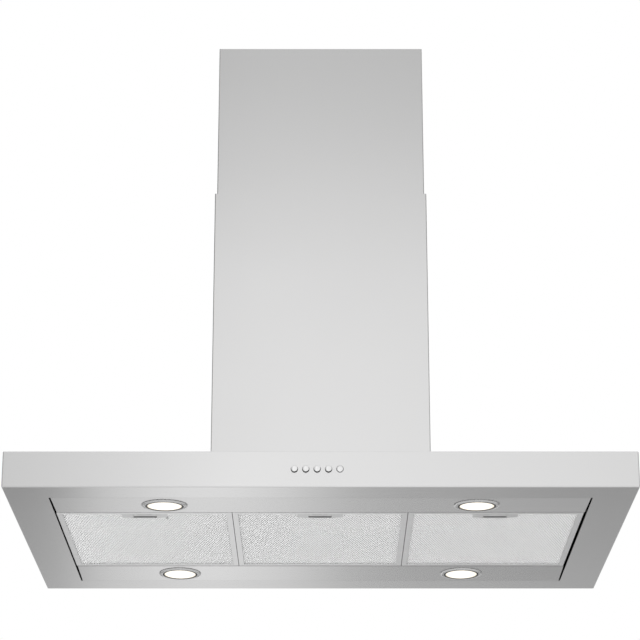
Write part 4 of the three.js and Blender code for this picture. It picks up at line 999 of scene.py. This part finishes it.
class HOOD_OT_collar(Operator):
    """Build the duct collar with its flaps"""

    bl_idname = "hood.collar"
    bl_label = "Duct collar"

    def execute(self, context):
        beads = []
        for z in (22, 40):
            beads += [(75.0, z - 2.0), (75.4, z - 1.0), (75.4, z + 1.0), (75.0, z + 2.0)]
        tube = turned([
            (73.5, 0), (84.6, 0), (85, 0.4), (85, 1.2), (84.6, 1.5), (76, 1.5), (75, 2.5), *beads, (75, 58.5),
            (74.6, 60), (73.5, 60),
        ], 96)
        half_width, depth, bottom, top = 4 * MM, 9.2 * MM, 19.4 * MM, 20.9 * MM
        stops = [
            block((-half_width, front, bottom), (half_width, front + depth, top), 0.3 * MM)
            for front in (-74.4 * MM, 65.2 * MM)
        ]
        middle = centre("duct_collar")
        place = at(middle.x, middle.y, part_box("duct_collar")[0].z)
        collar = placed(together(tube, *stops), place)
        piece("collar", collar, FINISH["dark"], "hood_body", "duct_collar")
        flange = at(80.4 * MM, 0, 1.5 * MM)
        screws = copies(pan_screw(2.6), [turn(45 + 90 * i, "Z") @ flange for i in range(4)])
        piece("collar_screws", placed(screws, place), FINISH["screw"], "hood_body")
        for row, _ in ROWS:
            flap = f"flap_{row}"
            piece(f"damper_{row}", node_copy(flap), FINISH["pale"], flap, flap)
        low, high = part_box("flap_pin")
        middle = centre("flap_pin")
        pin = cylinder(2 * MM, high.x - low.x, 32, 0.3 * MM)
        place = at(low.x, middle.y, middle.z) @ turn(90, "Y")
        piece("damper_pin", placed(pin, place), FINISH["screw"], "hood_body", "flap_pin")
        return {"FINISHED"}


class HOOD_OT_electrics(Operator):
    """Build the terminal box, the capacitor and the lamp transformer"""

    bl_idname = "hood.electrics"
    bl_label = "Electrics"

    def execute(self, context):
        low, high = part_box("terminal_box")
        middle = centre("terminal_box")
        lid, groove, inset, lap = high.z - 7 * MM, 0.4 * MM, 0.6 * MM, 1 * MM
        case = together(
            block(low, (high.x, high.y, lid - groove), 1.5 * MM),
            block((low.x, low.y, lid), high, 1.5 * MM),
            block((low.x + inset, low.y + inset, lid - lap), (high.x - inset, high.y - inset, lid + lap)),
        )
        piece("terminal_case", case, FINISH["pale"], "hood_body", "terminal_box")
        spots = [at(middle.x + side * 21 * MM, middle.y, high.z - 0.7 * MM) for side in SIDES]
        piece("terminal_screws", copies(pan_screw(), spots), FINISH["screw"], "hood_body")

        can = turned([
            (0, 0), (16.6, 0), (17.5, 0.9), (17.5, 62.5), (16.9, 63.2), (16.9, 64.2), (17.5, 64.9),
            (17.5, 67), (17, 67.6), (15.6, 67.6), (15.2, 66.8), (0, 66.8),
        ], 48)
        half_sheet, half_width, bottom, top = 0.4 * MM, 3 * MM, 66 * MM, 70 * MM
        tabs = [
            block((x - half_sheet, -half_width, bottom), (x + half_sheet, half_width, top), 0.1 * MM)
            for x in (-6 * MM, 6 * MM)
        ]
        middle = centre("motor_capacitor")
        place = at(middle.x, middle.y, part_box("motor_capacitor")[0].z)
        piece("capacitor_can", placed(can, place), FINISH["pale"], "hood_body", "motor_capacitor")
        piece("capacitor_tabs", placed(together(*tabs), place), FINISH["screw"], "hood_body")

        low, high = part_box("lamp_transformer")
        case = block(low, high, 2 * MM)
        piece("transformer_case", case, FINISH["dark"], "hood_body", "lamp_transformer")
        middle, pitch = centre("lamp_transformer"), 9 * MM
        spots = [at(middle.x + i * pitch, low.y + 6 * MM, low.z) @ turn(180, "X") for i in range(-3, 4)]
        piece("transformer_terminals", copies(pan_screw(2.4), spots), FINISH["screw"], "hood_body")
        return {"FINISHED"}


# ---------------------------------------------------------------- stage


def studio_card(name, corner, across, up, shade):
    """A flat card that only reflections see. Its tone comes from a function of its material's tree."""
    bm = bmesh.new()
    corner, across, up = Vector(corner), Vector(across), Vector(up)
    corners = (corner, corner + across, corner + across + up, corner + up)
    bm.faces.new([bm.verts.new(place) for place in corners])
    material = bpy.data.materials.new(name)
    material.use_nodes = True
    tree = material.node_tree
    tree.nodes.clear()
    glow = add(tree, "Emission", {"Color": shade(tree), "Strength": 1.0})
    out = add(tree, "OutputMaterial")
    tree.links.new(glow.outputs["Emission"], out.inputs["Surface"])
    card = new_object(name, bm, material)
    for kind in ("camera", "diffuse", "transmission", "volume_scatter", "shadow"):
        setattr(card, "visible_" + kind, False)


def tone_along(tree, axis, stops):
    """A grey ramp along one axis of the stage, from (place, tone) stops. Tones may be below 0 or above 1."""
    coords = add(tree, "TexCoord").outputs["Object"]
    place = add(tree, "SeparateXYZ", {"Vector": coords}).outputs[axis]
    start, end = stops[0][0], stops[-1][0]
    low, high = min(tone for _, tone in stops), max(tone for _, tone in stops)
    part = between(tree, place, 0.0, 1.0, start, end)
    shares = [((x - start) / (end - start), ((tone - low) / (high - low),) * 3) for x, tone in stops]
    return between(tree, ramp(tree, part, shares), low, high, 0.0, 1.0)


def soft_light(name, place, target, size, power):
    """A square area light that shines from one point towards another."""
    light = bpy.data.lights.new(name, "AREA")
    light.shape, light.size, light.energy = "SQUARE", size, power
    obj = bpy.data.objects.new(name, light)
    obj.location = place
    obj.rotation_euler = (Vector(target) - Vector(place)).to_track_quat("-Z", "Y").to_euler()
    obj.visible_camera = False
    bpy.context.scene.collection.objects.link(obj)
    return obj


# What the sheet metal mirrors: grey tones along X or Z of the stage, from (place, tone) stops.
BEHIND_ACROSS = [
    (-1.4, 0.26), (-0.85, 0.28), (-0.75, 0.36), (-0.62, 0.74), (-0.4, 0.97), (-0.28, 0.98), (-0.12, 0.84),
    (0.1, 0.5), (0.25, 0.41), (0.8, 0.3), (1.4, 0.26),
]
BEHIND_CONTRAST = [(-2.4, 1.15), (-1.8, 1.1), (-1.66, 0.87), (-1.46, 0.35), (-0.6, 0.3)]
BEHIND_LIFT = [(-2.4, -0.08), (-1.8, -0.05), (-1.66, 0.08), (-1.46, 0.37), (-0.6, 0.6)]
AHEAD_ACROSS = [
    (-1.4, -0.3), (-0.85, -0.22), (-0.65, -0.13), (-0.33, 0.03), (-0.21, 0.14), (-0.13, 0.05), (0.5, -0.01),
    (0.85, -0.06), (1.4, -0.15),
]
AHEAD_HEIGHT = [
    (-5.3, 0.82), (-1.6, 0.95), (-0.8, 1.0), (0.25, 1.0), (0.87, 0.95), (1.1, 0.83), (1.3, 0.73),
    (1.56, 0.64), (3.4, 0.6),
]
FLAG_HEIGHT = [(-2.4, 0.6), (0.2, 0.5), (0.55, 0.16), (1.4, 0.14), (1.9, 0.5), (3.0, 0.6)]

LIGHT_SIZE = 2.5
MIDDLE = (0, 0, -0.4)  # of the hood
LIGHTS = (  # name, place, target, power in watts
    ("key_light", (-2.4, -3.0, 2.2), MIDDLE, 8),
    ("fill_light", (2.8, -2.6, 0.6), MIDDLE, 4),
    ("back_light", (0.5, 3.2, 1.8), MIDDLE, 5),
    ("low_light", (-1.0, -0.5, -3.0), (-0.2, 0, -0.4), 40),
)


def tone_behind(tree):
    """A ramp across, with less contrast and more light towards the top."""
    across, contrast, lift = (
        tone_along(tree, axis, stops)
        for axis, stops in (("X", BEHIND_ACROSS), ("Z", BEHIND_CONTRAST), ("Z", BEHIND_LIFT))
    )
    return math_node(tree, "ADD", math_node(tree, "MULTIPLY", across, contrast), lift)


def tone_ahead(tree):
    """A ramp across, added to one that is brightest at the height of the hood."""
    return math_node(tree, "ADD", tone_along(tree, "X", AHEAD_ACROSS), tone_along(tree, "Z", AHEAD_HEIGHT))


def tone_flag(tree):
    """A dark band above the level of the ceiling."""
    return tone_along(tree, "Z", FLAG_HEIGHT)


CARDS = (  # name, corner, across, up, tone
    ("card_behind", (-4, 3.0, -2.4), (8, 0, 0), (0, 0, 1.8), tone_behind),
    ("card_ahead", (4, -3.3, -5.3), (-8, 0, 0), (0, 0, 8.7), tone_ahead),
    ("flag_-1", (-3.6, -2.9, -2.4), (0, 5.8, 0), (0, 0, 5.4), tone_flag),
    ("flag_1", (3.6, -2.9, -2.4), (0, 5.8, 0), (0, 0, 5.4), tone_flag),
)


def plain_floor(look):
    """A pale painted floor."""
    bm = bmesh.new()
    bmesh.ops.create_grid(bm, x_segments=1, y_segments=1, size=60)
    bmesh.ops.translate(bm, vec=(0, 0, look.floor_height), verts=bm.verts)
    material, tree, shader = surface("floor_paint", roughness=0.7)
    tint(tree, shader, object_noise(tree, 3), *tones(look.floor_color, 0.99, 1.01))
    new_object("floor", bm, material)


def studio_world(look):
    """White for the camera, reflections and transparency, and dimmer where it lights the hood."""
    world = bpy.data.worlds.new("studio")
    world.use_nodes = True
    tree = world.node_tree
    tree.nodes.clear()
    path = add(tree, "LightPath").outputs
    seen = math_node(tree, "MAXIMUM", path["Is Camera Ray"], path["Is Glossy Ray"])
    seen = math_node(tree, "MAXIMUM", seen, path["Is Transmission Ray"])
    white, soft = (
        add(tree, "Background", {"Color": (1, 1, 1, 1), "Strength": strength}).outputs["Background"]
        for strength in (1.0, look.ambient)
    )
    mixed = add(tree, "MixShader", {0: seen, 1: soft, 2: white})
    out = add(tree, "OutputWorld")
    tree.links.new(mixed.outputs["Shader"], out.inputs["Surface"])
    return world


def photo_camera(look):
    """The camera at the photograph's viewing angle."""
    camera = bpy.data.cameras.new("camera")
    camera.lens, camera.sensor_width = look.focal_length, 36
    camera.clip_start, camera.clip_end = 0.05, 60
    view = bpy.data.objects.new("camera", camera)
    view.location = (look.camera_side, FASCIA - look.camera_distance, UNDERSIDE - look.camera_drop)
    view.rotation_euler = (math.pi / 2 + look.camera_tilt, 0, 0)
    bpy.context.scene.collection.objects.link(view)
    return view


class HOOD_OT_stage(Operator):
    """Set up the floor, the studio cards, the lights, the world and the camera"""

    bl_idname = "hood.stage"
    bl_label = "Stage"

    def execute(self, context):
        look = context.scene.hood_stage
        plain_floor(look)
        for card in CARDS:
            studio_card(*card)
        for name, place, target, power in LIGHTS:
            light = soft_light(name, place, target, LIGHT_SIZE, power)
            light.visible_glossy = name != "low_light"
        context.scene.world = studio_world(look)
        context.scene.camera = photo_camera(look)
        context.scene.view_settings.view_transform = "Standard"
        return {"FINISHED"}


# ---------------------------------------------------------------- add-on

BUILD_ORDER = (
    HOOD_OT_finishes, HOOD_OT_filters, HOOD_OT_handles, HOOD_OT_lamps, HOOD_OT_buttons, HOOD_OT_fasteners,
    HOOD_OT_blower, HOOD_OT_collar, HOOD_OT_electrics, HOOD_OT_stage,
)
LOOKS = {
    "hood_sheet": HoodSheetLook,
    "hood_filters": HoodFilterLook,
    "hood_lamps": HoodLampLook,
    "hood_buttons": HoodButtonLook,
    "hood_blower": HoodBlowerLook,
    "hood_stage": HoodStageLook,
}


class HOOD_PT_panel(Panel):
    """Lists the hood's groups of pieces and their settings"""

    bl_idname = "HOOD_PT_panel"
    bl_label = "Chimney range hood"
    bl_space_type = "VIEW_3D"
    bl_region_type = "UI"
    bl_category = "Hood"

    def draw(self, context):
        for operator in BUILD_ORDER:
            self.layout.operator(operator.bl_idname)
        for name, group in LOOKS.items():
            box = self.layout.box()
            box.label(text=group.__doc__)
            for key in group.__annotations__:
                box.prop(getattr(context.scene, name), key)


def register():
    for cls in (*LOOKS.values(), *BUILD_ORDER, HOOD_PT_panel):
        bpy.utils.register_class(cls)
    for name, group in LOOKS.items():
        setattr(bpy.types.Scene, name, PointerProperty(type=group))


def unregister():
    for name in LOOKS:
        delattr(bpy.types.Scene, name)
    for cls in reversed((*LOOKS.values(), *BUILD_ORDER, HOOD_PT_panel)):
        bpy.utils.unregister_class(cls)


def main():
    register()
    bpy.ops.hood.finishes()
    bpy.ops.hood.filters()
    bpy.ops.hood.handles()
    bpy.ops.hood.lamps()
    bpy.ops.hood.buttons()
    bpy.ops.hood.fasteners()
    bpy.ops.hood.blower()
    bpy.ops.hood.collar()
    bpy.ops.hood.electrics()
    bpy.ops.hood.stage()


if __name__ == "__main__":
    main()
